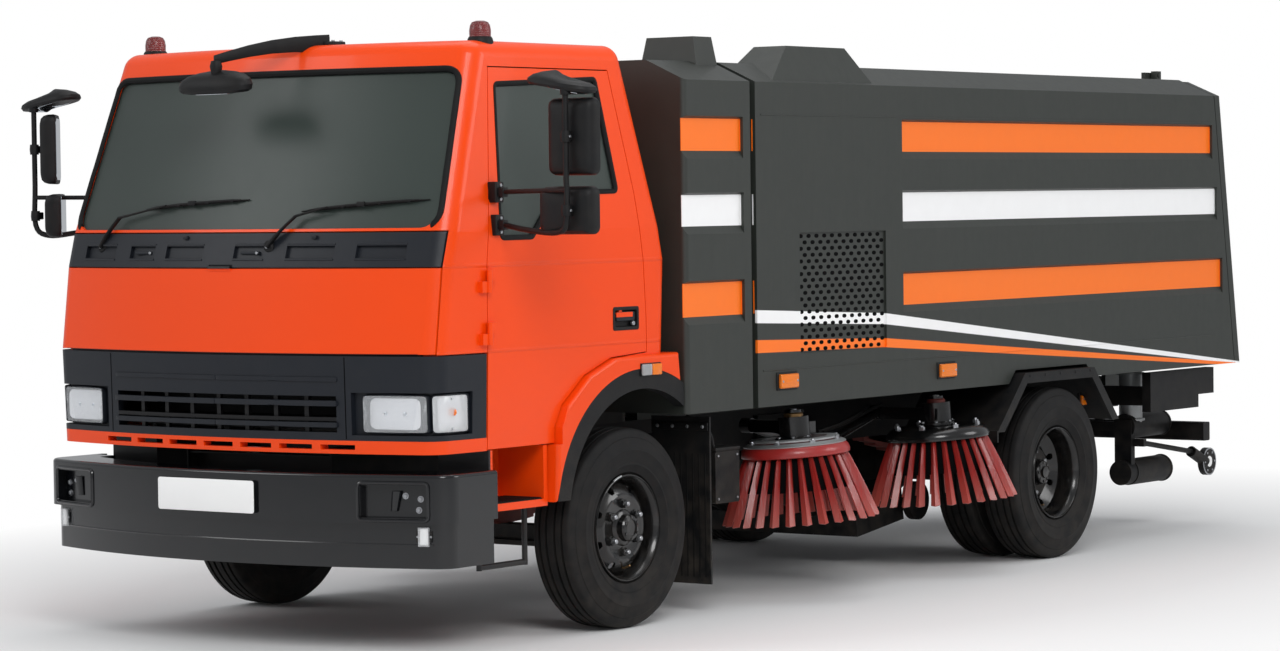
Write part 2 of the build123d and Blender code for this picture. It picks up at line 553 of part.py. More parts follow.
def axles():
    """Front and rear axles and their leaf springs."""
    z0, z1 = AXLE_EYE_Z0, AXLE_EYE_Z1
    beam = box(-KINGPIN_X + 60, KINGPIN_X - 60, -45, 45, 330, 420)
    beam -= box(-KINGPIN_X, KINGPIN_X, 12, 60, 352, 398) + box(-KINGPIN_X, KINGPIN_X, -60, -12, 352, 398)
    for side in (-1, 1):
        beam += rod((side * KINGPIN_X, 0, z0), (side * KINGPIN_X, 0, z1), KINGPIN_R)
        beam += span(side, KINGPIN_X - 75, KINGPIN_X - 10, -40, 40, 340, z1 - 10)
    save("front_axle", beam - both(box(KINGPIN_X - KINGPIN_R - 3, KINGPIN_X + 60, -60, 60, 300, z0)))
    end = AXLE_END_X - CONTACT
    casing = [(end, 0), (end, 62), (260, 62), (150, 150), (60, 178),
              (-60, 178), (-150, 150), (-260, 62), (-end, 62), (-end, 0)]
    case = Pos(0, WHEELBASE, TYRE_R) * revolve(make_face(Polyline(*casing, close=True)), Axis.X)
    save("rear_axle", case)
    springs = Part()
    for y, seat, half, rise in ((0, 420 + CONTACT, 600, 120), (WHEELBASE, TYRE_R + 62 + CONTACT, 640, 70)):
        for leaf in range(LEAVES):
            reach = half * (1 - 0.17 * (LEAVES - 1 - leaf))
            z = seat + leaf * LEAF_T
            tip = z + rise * (reach / half) ** 2
            tip_top = tip + LEAF_T + 1
            low = ThreePointArc((y - reach, tip), (y, z), (y + reach, tip))
            high = ThreePointArc((y - reach, tip_top), (y, z + LEAF_T + 1), (y + reach, tip_top))
            ends = [Line((y + way * reach, tip), (y + way * reach, tip_top)) for way in (1, -1)]
            face = make_face(Wire([low, ends[0], high, ends[1]]))
            springs += extrude(Plane.YZ.offset(SPRING_X0) * face, SPRING_X1 - SPRING_X0)
        top = seat + LEAVES * LEAF_T
        for end in (-1, 1):
            ye = y + end * (half - 25)
            springs += box(SPRING_X0, SPRING_X1, ye - 22, ye + 22,
                           top + rise - 18, RAIL_TOP - RAIL_H - CONTACT)
        springs += box(SPRING_X0, SPRING_X1, y - 60, y + 60, seat, top + 25)
    save("leaf_springs", both(springs))


def guards_and_rear():
    """Mudguards, flaps, skirts, underrun bar and outlet pipes."""
    guards = across(GUARD_OUTLINE, GUARD_IN, GUARD_OUT) - across(GUARD_OUTLINE, 600, 1200, -GUARD_T)
    guards -= box(600, 1200, 2800, 4200, 500, 660)
    guards += across(GUARD_OUTLINE, GUARD_OUT - 20, GUARD_OUT) - across(GUARD_OUTLINE, 600, 1200, -50) \
        - box(600, 1200, 2800, 4200, 500, 660)
    guards += box(GUARD_IN, GUARD_OUT, 2877, 2890, 612, 668)
    for y in (3180, 3780):
        guards += box(RAIL_OUT + CONTACT, GUARD_IN + 2, y, y + 50, 700, 740)
    guards += box(GUARD_IN - 20, GUARD_IN + 2, 3180, 3830, 700, 912)
    flaps = box(740, 1050, 600, 612, 130, 860) + box(RAIL_OUT + CONTACT, 760, 600, 612, 700, 780)
    save("mudguards", both(guards + flaps))
    skirt = across([(4615, 868), (5325, 868), (5325, 730), (5150, 730), (5150, 662), (4615, 662)], 1000, 1050)
    skirt += box(RAIL_OUT + CONTACT, 1001, 4700, 4740, 690, 790)
    save("rear_skirts", both(skirt))
    bar = fillet(box(-1000, 1000, 5300, 5372, 470, 570).edges().filter_by(Axis.X), 10)
    stays = both(box(RAIL_OUT - 60, RAIL_OUT - 10, FRAME_REAR + CONTACT, FRAME_REAR + 25, 500, 790))
    save("rear_underrun", bar + stays)
    outlets = rod((750, 4830, 320), (750, 4910, 320), 66) + rod((750, 4905, 320), (750, 5285, 320), 70)
    outlets -= rod((750, 4900, 320), (750, 5400, 320), 62)
    outlets += rod((750, 4870, 565), (750, 5280, 565), 66) - rod((750, 5200, 565), (750, 5400, 565), 58)
    outlets += rod((750, 4950, 565), (750, 4950, 860), 60) + rod((750, 4950, 700), (750, 4950, 730), 72)
    outlets += box(700, 800, 4860, 4900, 300, 600)
    outlets += box(RAIL_OUT + CONTACT, 760, 4860, 4900, 540, 590)
    outlets += box(RAIL_OUT + CONTACT, 440, 4860, 4900, 560, 700)
    valve = rod((850, 4890, 480), (850, 5440, 400), 14) + box(740, 864, 4880, 4910, 460, 500)
    valve += rod((850, 5440, 400), (850, 5600, 335), 30) + crossbar(838, 872, 5615, 335, 75)
    save("rear_outlets", outlets + valve)


# ---------------------------------------------------------------- steering and wheels
def tyre():
    """Tyre round the Y axis, its middle plane at y = 0."""
    half = TYRE_W / 2
    bead = RIM_W / 2 - RIM_T
    outer = [ThreePointArc((RIM_R, bead), (RIM_R + 95, half), (TYRE_R - 22, half - 22)),
             ThreePointArc((TYRE_R - 22, half - 22), (TYRE_R, 0), (TYRE_R - 22, 22 - half)),
             ThreePointArc((TYRE_R - 22, 22 - half), (RIM_R + 95, -half), (RIM_R, -bead)),
             Line((RIM_R, -bead), (RIM_R, bead))]
    return revolve(make_face(Wire(outer)), Axis.Y)


def rim(face, bowl):
    """Rim and disc round Y: the bolt face stands at y = face, the disc leaves the rim at y = bowl."""
    half = RIM_W / 2
    barrel = [(RIM_R, half - RIM_T), (FLANGE_R, half - RIM_T), (FLANGE_R, half),
              (RIM_R - RIM_T, half), (RIM_R - RIM_T, -half),
              (FLANGE_R, -half), (FLANGE_R, RIM_T - half), (RIM_R, RIM_T - half)]
    disc = [(RIM_R - RIM_T / 2, bowl), (RIM_R - RIM_T - 14, bowl), (BOLT_FACE_R + 8, face), (70, face),
            (70, face - RIM_T), (BOLT_FACE_R + 4, face - RIM_T),
            (RIM_R - RIM_T - 20, bowl - RIM_T), (RIM_R - RIM_T / 2, bowl - RIM_T)]
    wheel = revolve(make_face(Polyline(*barrel, close=True)), Axis.Y)
    wheel += revolve(make_face(Polyline(*disc, close=True)), Axis.Y)
    hole = Pos((BOLT_FACE_R + RIM_R) / 2 - 2, 0, 0) * Rot(90, 0, 0) * Cylinder(HAND_HOLE_R, 3 * half)
    for k in range(HAND_HOLES):
        wheel -= Rot(0, 360 * k / HAND_HOLES, 0) * hole
    return wheel


def at_wheel(shape, middle_x, outward):
    """Stand a wheel piece up on its axle, with its own +Y facing outward."""
    return Pos(middle_x, 0, TYRE_R) * Rot(0, 0, -90 * outward) * shape


def wheels():
    """Wheels, knuckles and tie rod."""
    front = tyre() + rim(64, 30)
    twin = tyre() + rim(-52, -20)
    middle = FRONT_TRACK / 2
    for side, name in ((1, "left"), (-1, "right")):
        hub = crossbar(side * (middle - 40 + CONTACT), side * (middle + 66), 0, TYRE_R, 96)
        hub += crossbar(side * (middle + 60), side * (middle + 112), 0, TYRE_R, 52)
        save(f"front_wheel_{name}", at_wheel(front, side * middle, side) + hub)
        pair = at_wheel(twin, side * REAR_TWIN_OUT, side)
        pair += at_wheel(twin, side * (REAR_TWIN_OUT - TWIN_SPACING), -side)
        pair += crossbar(side * AXLE_END_X, side * (REAR_TWIN_OUT - 52), 0, TYRE_R, 100)
        pair += crossbar(side * (REAR_TWIN_OUT - 60), side * (REAR_TWIN_OUT + 45), 0, TYRE_R, 66)
        save(f"rear_wheels_{name}", Pos(0, WHEELBASE, 0) * pair)
        x = side * KINGPIN_X
        low, high = AXLE_EYE_Z0 - CONTACT, AXLE_EYE_Z1 + CONTACT
        knuckle = rod((x, 0, high), (x, 0, high + 35), KINGPIN_R)
        knuckle += rod((x, 0, low - 35), (x, 0, low), KINGPIN_R)
        knuckle += span(side, KINGPIN_X + 48, KINGPIN_X + 75, -45, 45, low - 35, high + 35)
        knuckle += span(side, KINGPIN_X, KINGPIN_X + 75, -35, 35, low - 35, low)
        knuckle += span(side, KINGPIN_X, KINGPIN_X + 75, -35, 35, high, high + 35)
        knuckle += crossbar(side * (KINGPIN_X + 74), side * (middle - 40), 0, TYRE_R, 45)
        knuckle += span(side, KINGPIN_X - 20, KINGPIN_X + 10, 30, TIE_Y + 20, low - 35, low - TIE_ARM_DROP)
        knuckle += span(side, KINGPIN_X - 20, KINGPIN_X + 20, TIE_Y - 20, TIE_Y + 20, low - 35, low - 15)
        save(f"knuckle_{name}", knuckle)
    z = AXLE_EYE_Z0 - 15 + TIE_R
    save("tie_rod", crossbar(-KINGPIN_X - 5, KINGPIN_X + 5, TIE_Y, z, TIE_R))


# ---------------------------------------------------------------- sweeper body
def body_outline(shrink=0):
    """Symmetrical cross-section of the sweeper body in X and Z."""
    right = [(BODY_HALF_W - shrink, BODY_BOTTOM + shrink),
             (BODY_HALF_W - shrink, BODY_SHOULDER_Z - shrink / 2),
             (BODY_ROOF_HALF_W - shrink / 2, BODY_ROOF_Z - shrink)]
    return right + [(-x, z) for x, z in reversed(right)]


STRIPES = [(2015, 2155), (1690, 1825), (1300, 1445)]


def stripe_pocket(z0, z1, y0, y1):
    """Cutter for one recessed stripe, steep above and sloping below, on both sides."""
    x = BODY_HALF_W
    floor = x - STRIPE_DEPTH
    return both(lengthwise([(x + 1, z1 + 10), (floor, z1), (floor, z0), (x + 1, z0 - STRIPE_LEDGE)], y0, y1))


def hood(x0, x1, y0, y1, top_x0, top_x1, top_y0, top_y1, z):
    """Tapering roof hood that stands on the body's shoulder, on both sides."""
    base = Pos((x0 + x1) / 2, (y0 + y1) / 2, BODY_SHOULDER_Z) * Rectangle(x1 - x0, y1 - y0)
    top = Pos((top_x0 + top_x1) / 2, (top_y0 + top_y1) / 2, z) * Rectangle(top_x1 - top_x0, top_y1 - top_y0)
    return both(loft([base, top], ruled=True))


def engine_house():
    """Fixed housing behind the cab."""
    cavity = lengthwise(body_outline(BODY_WALL), HOUSE_Y0 + BODY_WALL, HOUSE_Y1 - BODY_WALL)
    house = lengthwise(body_outline(), HOUSE_Y0, HOUSE_Y1)
    house = fillet([e for e in house.edges().filter_by(Axis.Z) if e.center().Y < HOUSE_Y0 + 1], 25)
    house -= cavity
    house -= box(-RAIL_OUT - 100, RAIL_OUT + 100, HOUSE_Y0 + 45, HOUSE_Y1 - 45, 800, 1000)
    for z0, z1 in STRIPES:
        house -= stripe_pocket(z0, z1, HOUSE_Y0 - 5, HOUSE_Y1 - 55)
    house += hood(620, 950, 690, 862, 660, 910, 710, 850, 2520) - cavity
    for y in (HOUSE_Y0, HOUSE_Y1 - 35):
        house += both(box(RAIL_OUT - SUBFRAME_W, RAIL_OUT, y, y + 35, RAIL_TOP + CONTACT, BODY_BOTTOM + 5))
    save("engine_house", house)


GRILLE_PANEL = (1250, 1970, 1110, 1650)    # perforated panel in the hopper's side: front, rear, bottom, top
GRILLE_DEEP = 10


def hopper():
    """Tipping hopper with its subframe, hinges and hoods."""
    side_view = [(HOPPER_Y0, 800), (HOPPER_Y0, 2500), (HOPPER_TOP_REAR - 8, 2500),
                 (HOPPER_TOP_REAR, BODY_ROOF_Z), (HOPPER_LOW_REAR, BODY_BOTTOM), (HOPPER_LOW_REAR, 800)]
    hull = lengthwise(body_outline(), HOPPER_Y0, 5600) & across(side_view, -1200, 1200)
    cavity = lengthwise(body_outline(BODY_WALL), HOPPER_Y0 + BODY_WALL, 5700)
    body = hull - cavity
    for z0, z1 in STRIPES:
        lean = (2400 - z1) * (HOPPER_LOW_REAR - HOPPER_TOP_REAR) / (BODY_ROOF_Z - BODY_BOTTOM)
        body -= stripe_pocket(z0, z1, 2120, HOPPER_TOP_REAR + lean - 45)
    y0, y1, z0, z1 = GRILLE_PANEL
    body -= both(box(BODY_HALF_W - GRILLE_DEEP, 1200, y0, y1, z0, z1))
    body -= both(across(GUARD_OUTLINE, GUARD_IN - 30, 1200, 15))
    arch = across(GUARD_OUTLINE, GUARD_IN - 58, BODY_HALF_W - 1, 40)
    arch -= across(GUARD_OUTLINE, GUARD_IN - 30, BODY_HALF_W, 15)
    body += both(arch & box(0, BODY_HALF_W - 1, 2700, 4300, BODY_BOTTOM, 1100))
    low = BODY_BOTTOM - SUBFRAME_DEEP
    body += both(box(RAIL_OUT - SUBFRAME_W, RAIL_OUT, 960, 5180, RAIL_TOP + CONTACT, BODY_BOTTOM + 5))
    for y in (960, 2300, 5130):
        body += box(-RAIL_OUT, RAIL_OUT, y, y + 50, low, BODY_BOTTOM + 5)
    body += both(box(40 + CONTACT, 64, TIP_EYE_Y - 40, TIP_EYE_Y + 40, TIP_EYE_Z - 40, BODY_BOTTOM + 5))
    body += hood(790, 1085, 1060, 1900, 830, 1005, 1300, 1780, 2490) - cavity
    for side in (-1, 1):
        body += span(side, RAIL_OUT + 36, RAIL_OUT + 60, 5200, TIP_Y + 40, TIP_Z - 40, BODY_BOTTOM + 5)
        body += crossbar(side * (RAIL_OUT - 2), side * (RAIL_OUT + 60), TIP_Y, TIP_Z, TIP_PIN_R)
        lug = [(5190, BODY_ROOF_Z - 25), (5235, BODY_ROOF_Z - 25), (5235, BODY_ROOF_Z),
               (REAR_HINGE_Y + 12, BODY_ROOF_Z), (REAR_HINGE_Y + 12, REAR_HINGE_Z + 15),
               (5190, REAR_HINGE_Z + 15)]
        body += across(lug, side * 700, side * 720)
        body += crossbar(side * 718, side * 765, REAR_HINGE_Y, REAR_HINGE_Z, REAR_PIN_R)
    save("hopper_body", body)


def rear_door():
    """Top-hinged rear door with stiffening ribs."""
    slope = (HOPPER_LOW_REAR - HOPPER_TOP_REAR) / (BODY_ROOF_Z - BODY_BOTTOM)
    low = HOPPER_LOW_REAR + SHUT_GAP + 2
    z0, z1 = BODY_BOTTOM - 5, BODY_ROOF_Z - 10
    top = low - slope * (z1 - z0)
    side_view = [(low, z0), (low + DOOR_T, z0), (top + DOOR_T, z1), (top, z1)]
    panel = lengthwise(body_outline(), 5000, 5700)
    door = panel & across(side_view, -1200, 1200)
    field = [(low + DOOR_T - 22, z0), (low + DOOR_T + 9, z0), (top + DOOR_T + 9, z1), (top + DOOR_T - 22, z1)]
    for x0, x1 in ((-1040, -560), (-500, -30), (30, 500), (560, 1040)):
        door -= across(field, x0, x1) & box(-1100, 1100, 5000, 5700, z0 + 70, 1560)
        door -= across(field, x0, x1) & box(-1100, 1100, 5000, 5700, 1620, 2250)
    for side in (-1, 1):
        lug = span(side, 725, 760, REAR_HINGE_Y - 22, REAR_HINGE_Y + 26, z1 - 20, REAR_HINGE_Z + 22)
        door += lug - crossbar(side * 720, side * 765, REAR_HINGE_Y, REAR_HINGE_Z, REAR_PIN_R + RUNNING)
    save("rear_door", door)


def tipping_gear():
    """Tipping cylinder and its rod."""
    foot = Vector(0, TIP_BARREL_Y, TIP_BARREL_Z)
    eye = Vector(0, TIP_EYE_Y, TIP_EYE_Z)
    way = (eye - foot).normalized()
    mouth = foot + way * BARREL_LENGTH
    barrel = rod(foot + way * 30, mouth, BARREL_R) + rod(mouth - way * 60, mouth, BARREL_R + 8)
    barrel -= rod(foot + way * 60, foot + way * 900, BARREL_BORE)
    barrel += crossbar(-42, 42, foot.Y, foot.Z, 38)
    save("tip_cylinder", barrel - crossbar(-50, 50, foot.Y, foot.Z, ARM_PIN_R + RUNNING))
    piston = rod(foot + way * 75, eye - way * 22, PISTON_R)
    piston += rod(foot + way * 75, foot + way * 110, BARREL_BORE - CONTACT)
    piston += crossbar(-40, 40, eye.Y, eye.Z, 34)
    save("tip_rod", piston - crossbar(-45, 45, eye.Y, eye.Z, SMALL_PIN_R + RUNNING))


# ---------------------------------------------------------------- brushes and nozzle
def brush_positions():
    """Name, side, brush centre y, arm pivot y and arm direction along Y."""
    for side, hand in ((1, "left"), (-1, "right")):
        yield f"front_{hand}", side, FRONT_BRUSH_Y, ARM_PIVOT_Y - ARM_PIVOT_GAP, -1
        yield f"rear_{hand}", side, REAR_BRUSH_Y, ARM_PIVOT_Y + ARM_PIVOT_GAP, 1


def disc_brush(height):
    """Disc brush round +Z with its top at z = 0: plate, clamp ring, collar and splayed bristle bundles."""
    below = (Align.CENTER, Align.CENTER, Align.MAX)
    brush = Cylinder(165, 22, align=below) + Pos(0, 0, -20) * Cylinder(BRUSH_COLLAR_R - 60, 14, align=below)
    collar = [(BRUSH_COLLAR_R - 75, -33), (BRUSH_COLLAR_R - 60, -24), (BRUSH_COLLAR_R, -80),
              (BRUSH_COLLAR_R - 4, -92), (BRUSH_COLLAR_R - 75, -70)]
    brush += revolve(Plane.XZ * make_face(Polyline(*collar, close=True)), Axis.Z)
    out = BRUSH_COLLAR_R - 30
    drop = height - 60
    root = Plane(origin=(out, 0, -60), z_dir=(BRUSH_TIP_R - out, 0, -drop))
    length = math.hypot(BRUSH_TIP_R - out, drop)
    tuft = loft([root * Rectangle(14, 30), root * Pos(0, 0, length - 14) * Rectangle(20, 54)], ruled=True)
    for k in range(BRUSH_TUFTS):
        brush += Rot(0, 0, 360 * k / BRUSH_TUFTS) * tuft
    return brush


def brushes():
    """Disc brushes with their heads and arms."""
    reach = ARM_LENGTH * math.cos(math.radians(ARM_RAISE))
    z = ARM_PIVOT_Z + ARM_LENGTH * math.sin(math.radians(ARM_RAISE))
    motor = 55
    lean = math.sin(math.radians(BRUSH_CANT))
    dip = BRUSH_TIP_R * lean
    brush = disc_brush(z - motor - CONTACT - dip - BRUSH_TIP_Z)
    for name, side, y, pivot_y, way in brush_positions():
        start = (pivot_y, ARM_PIVOT_Z)
        end = (pivot_y + way * reach, z)
        arm = rod((side * ARM_X, *start), (side * ARM_X, *end), ARM_R)
        for eye in (start, end):
            arm += crossbar(side * (ARM_X - 25), side * (ARM_X + 25), *eye, ARM_PIN_R + 20)
        for eye in (start, end):
            arm -= crossbar(side * (ARM_X - 35), side * (ARM_X + 35), *eye, ARM_PIN_R + RUNNING)
        save(f"brush_arm_{name}", arm)
        head = crossbar(side * (ARM_X - 28), side * (ARM_X + 70), *end, ARM_PIN_R)
        head += span(side, ARM_X + 32, BRUSH_X, end[0] - 28, end[0] + 28, z - 28, z + 28)
        head += span(side, BRUSH_X - 60, BRUSH_X + 40, end[0] - way * 28, y + way * 40, z - 28, z + 28)
        tilt = (-side * 0.81 * lean, -0.59 * lean, math.cos(math.radians(BRUSH_CANT)))
        spin = Plane(origin=(side * BRUSH_X, y, z), z_dir=tilt)
        head += spin * Cylinder(70, 2 * motor) + spin * Pos(0, 0, motor) * Cylinder(38, 60)
        save(f"brush_head_{name}", head)
        save(f"disc_brush_{name}", spin * Pos(0, 0, -motor - CONTACT) * brush)


def nozzle():
    """Suction nozzle on its towing arms, raised, with its castor wheels."""
    raised = Plane(origin=(0, NOZZLE_PIVOT_Y, NOZZLE_PIVOT_Z)) * Rot(NOZZLE_LIFT, 0, 0)
    drop = -NOZZLE_PIVOT_Z
    half = NOZZLE_HALF_W
    outer = [(950, drop + 20), (1380, drop + 20), (1380, drop + 210), (1100, drop + 210), (950, drop + 120)]
    inner = [(980, drop), (1350, drop), (1350, drop + 170), (1120, drop + 170), (980, drop + 100)]
    body = across(outer, -half, half) - across(inner, 30 - half, half - 30)
    arm_outline = [(-25, -20), (0, 30), (30, 20), (1010, drop + 150), (990, drop + 90)]
    for side in (-1, 1):
        x = NOZZLE_PIVOT_X
        tow = across(arm_outline, side * (x - 12), side * (x + 12))
        body += tow - crossbar(side * (x - 30), side * (x + 30), 0, 0, SMALL_PIN_R + RUNNING)
        lug = span(side, half + 5, half + 20, 1340, 1470, drop + 70, drop + 140)
        lug += span(side, half - 5, half + 10, 1330, 1381, drop + 70, drop + 140)
        bore = crossbar(side * (half - 10), side * (half + 50), 1430, drop + 105, SMALL_PIN_R + RUNNING)
        body += lug - bore
    save("suction_nozzle", raised * body)
    rollers = crossbar(-half - 65, half + 65, 1430, drop + 105, SMALL_PIN_R)
    for side in (-1, 1):
        rollers += crossbar(side * (half + 26), side * (half + 66), 1430, drop + 105, NOZZLE_WHEEL_R)
    save("nozzle_wheels", raised * rollers)


os.makedirs("parts", exist_ok=True)
cab_shell()
cab_floor()
cab_front()
cab_glass()
cab_doors()
cab_inside()
step_wells()
chassis_frame()
front_bumper()
driveline()
axles()
guards_and_rear()
wheels()
engine_house()
hopper()
rear_door()
tipping_gear()
brushes()
nozzle()
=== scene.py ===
"""Looks of a street sweeper truck: finishes and finely built pieces on the truck's fixed frame.

Every length is in metres. Pieces are drawn with Y measured from the front axle and Z from the ground, X to
the truck's left, and are moved to the frame's origin when they are finished.
"""
import logging
import math
from dataclasses import dataclass, field
from enum import Enum
from typing import Callable, Iterable, Optional, Sequence, Union

import bmesh
import bpy
from mathutils import Matrix, Vector
from mathutils.bvhtree import BVHTree


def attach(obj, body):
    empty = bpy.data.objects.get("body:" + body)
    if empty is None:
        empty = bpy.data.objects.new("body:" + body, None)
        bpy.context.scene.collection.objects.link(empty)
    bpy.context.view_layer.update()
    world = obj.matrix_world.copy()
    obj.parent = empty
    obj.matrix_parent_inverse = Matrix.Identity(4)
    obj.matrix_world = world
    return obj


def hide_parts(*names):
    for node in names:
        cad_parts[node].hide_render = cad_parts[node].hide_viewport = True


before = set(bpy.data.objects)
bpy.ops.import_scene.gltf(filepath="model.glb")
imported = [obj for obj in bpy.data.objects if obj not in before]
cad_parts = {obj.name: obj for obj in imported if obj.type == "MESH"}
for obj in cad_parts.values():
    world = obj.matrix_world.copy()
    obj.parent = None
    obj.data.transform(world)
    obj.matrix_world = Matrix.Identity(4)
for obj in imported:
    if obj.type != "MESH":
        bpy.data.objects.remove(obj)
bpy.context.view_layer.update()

LOG = logging.getLogger("sweeper")
AXLE_Y = -2.1125          # the front axle in the frame
ORIGIN = (0, 0, 0)
UP, OUT, BACK, AHEAD = (0, 0, 1), (1, 0, 0), (0, 1, 0), (0, -1, 0)
FAR = 2.0                 # where rays start, outside the truck
DOUBLES = 1e-5            # points nearer than this are joined
SIDES = ((1, "left"), (-1, "right"))
Point = Union[Vector, Sequence[float]]
Colour = tuple[float, float, float]
Pairs = Sequence[tuple[float, float]]


def srgb(red: float, green: float, blue: float) -> Colour:
    """Turn a colour written as 0 to 255 into linear values.

    Args:
        red, green, blue: The colour's channels as a screen shows them.
    Returns:
        The linear colour.
    """
    return tuple(((c / 255 + 0.055) / 1.055) ** 2.4 if c > 10.3 else c / 255 / 12.92 for c in (red, green, blue))


# ------------------------------------------------------------------------------------------- shader toolkit
class Field:
    """A value that changes over a surface, with the usual arithmetic."""

    def __init__(self, tree: "Shader", socket: bpy.types.NodeSocket) -> None:
        """Wrap one output socket."""
        self.tree = tree
        self.socket = socket

    def _maths(self, operation: str, *values: "Value", clamp: bool = False) -> "Field":
        """Add one Math node over the values given."""
        settings = {"operation": operation, "use_clamp": clamp}
        return self.tree.add("ShaderNodeMath", settings, dict(enumerate(values)))

    def __add__(self, other: "Value") -> "Field":
        """Sum."""
        return self._maths("ADD", self, other)

    def __sub__(self, other: "Value") -> "Field":
        """Difference."""
        return self._maths("SUBTRACT", self, other)

    def __rsub__(self, other: float) -> "Field":
        """Difference from a number."""
        return self._maths("SUBTRACT", other, self)

    def __mul__(self, other: "Value") -> "Field":
        """Product."""
        return self._maths("MULTIPLY", self, other)

    def __abs__(self) -> "Field":
        """Size without sign."""
        return self._maths("ABSOLUTE", self)

    __radd__ = __add__
    __rmul__ = __mul__

    def lowest(self, other: "Value") -> "Field":
        """The lower of two values."""
        return self._maths("MINIMUM", self, other)

    def highest(self, *others: "Value") -> "Field":
        """The highest of two or more values."""
        top = self
        for other in others:
            top = top._maths("MAXIMUM", top, other)
        return top

    def above(self, edge: "Value", soft: float = 0.001) -> "Field":
        """Mask that is 1 where the value is above an edge, with a soft border of that width."""
        return self._maths("MULTIPLY", self - edge + soft / 2, 1 / soft, clamp=True)

    def below(self, edge: "Value", soft: float = 0.001) -> "Field":
        """Mask that is 1 where the value is below an edge."""
        return 1 - self.above(edge, soft)

    def between(self, low: "Value", high: "Value", soft: float = 0.001) -> "Field":
        """Mask that is 1 between two edges."""
        return self.above(low, soft) * self.below(high, soft)


Value = Union[Field, float]


class Shader:
    """The node tree of one material or of the world."""

    def __init__(self, name: str, world: bool = False) -> None:
        """Start an empty material, or an empty world."""
        self.kind = "World" if world else "Material"
        self.holder = (bpy.data.worlds if world else bpy.data.materials).new(name)
        self.holder.use_nodes = True
        self.nodes = self.holder.node_tree.nodes
        self.nodes.clear()
        self.axes: dict[str, Field] = {}

    def add(self, kind: str, settings: Optional[dict] = None, inputs: Optional[dict] = None,
            out: Union[int, str] = 0) -> Field:
        """Add a node.

        Args:
            kind: The node's type.
            settings: Its properties, set first.
            inputs: Values or fields for its sockets, by name or number.
            out: The output that the returned field stands for.
        Returns:
            The node's output as a field.
        """
        node = self.nodes.new(kind)
        for key, value in (settings or {}).items():
            setattr(node, key, value)
        for key, value in (inputs or {}).items():
            socket = node.inputs[key]
            if isinstance(value, Field):
                self.holder.node_tree.links.new(value.socket, socket)
            elif isinstance(value, tuple) and socket.type == "RGBA":
                socket.default_value = (*value, 1)
            else:
                socket.default_value = value
        return Field(self, node.outputs[out])

    def place(self) -> Field:
        """Position on the object, in metres."""
        return self.add("ShaderNodeTexCoord", out="Object")

    def axis(self, letter: str) -> Field:
        """One coordinate, with Y from the front axle."""
        if letter not in self.axes:
            split = self.add("ShaderNodeSeparateXYZ", inputs={0: self.place()}, out=letter)
            self.axes[letter] = split - AXLE_Y if letter == "Y" else split
        return self.axes[letter]

    def noise(self, scale: float, detail: float = 3.0, stretch: Colour = (1, 1, 1)) -> Field:
        """Cloudy pattern from 0 to 1."""
        place = self.add("ShaderNodeMapping", inputs={"Vector": self.place(), "Scale": stretch})
        return self.add("ShaderNodeTexNoise", inputs={"Vector": place, "Scale": scale, "Detail": detail})

    def wave(self, direction: str, scale: float) -> Field:
        """Even waves from 0 to 1 along one coordinate."""
        inputs = {"Vector": self.place(), "Scale": scale}
        return self.add("ShaderNodeTexWave", {"bands_direction": direction}, inputs, out=1)

    def mix(self, mask: Value, first: Union[Field, Colour], second: Union[Field, Colour]) -> Field:
        """Blend two colours, the second where the mask is 1."""
        return self.add("ShaderNodeMix", {"data_type": "RGBA"}, {0: mask, 6: first, 7: second}, out=2)

    def surface(self, **sockets: Union[Value, tuple]) -> bpy.types.Material:
        """Finish the material with one Principled surface.

        Args:
            sockets: Values or fields for the surface, with underscores for spaces.
        Returns:
            The finished material.
        """
        names = {key.replace("_", " ").title().replace("Ior", "IOR"): value for key, value in sockets.items()}
        self._output(self.add("ShaderNodeBsdfPrincipled", inputs=names))
        return self.holder

    def blend(self, mask: Field, first: Field, second: Field) -> None:
        """Finish the tree with two shaders, the second where the mask is 1."""
        self._output(self.add("ShaderNodeMixShader", inputs={0: mask, 1: first, 2: second}))

    def _output(self, shader: Field) -> None:
        """Join a shader to the tree's output."""
        out = self.nodes.new(f"ShaderNodeOutput{self.kind}")
        self.holder.node_tree.links.new(shader.socket, out.inputs[0])

    def bump(self, height: Field, depth: float) -> Field:
        """Normal of a surface with that height pattern, depth in metres."""
        return self.add("ShaderNodeBump", inputs={"Height": height, "Distance": depth, "Strength": 1.0})


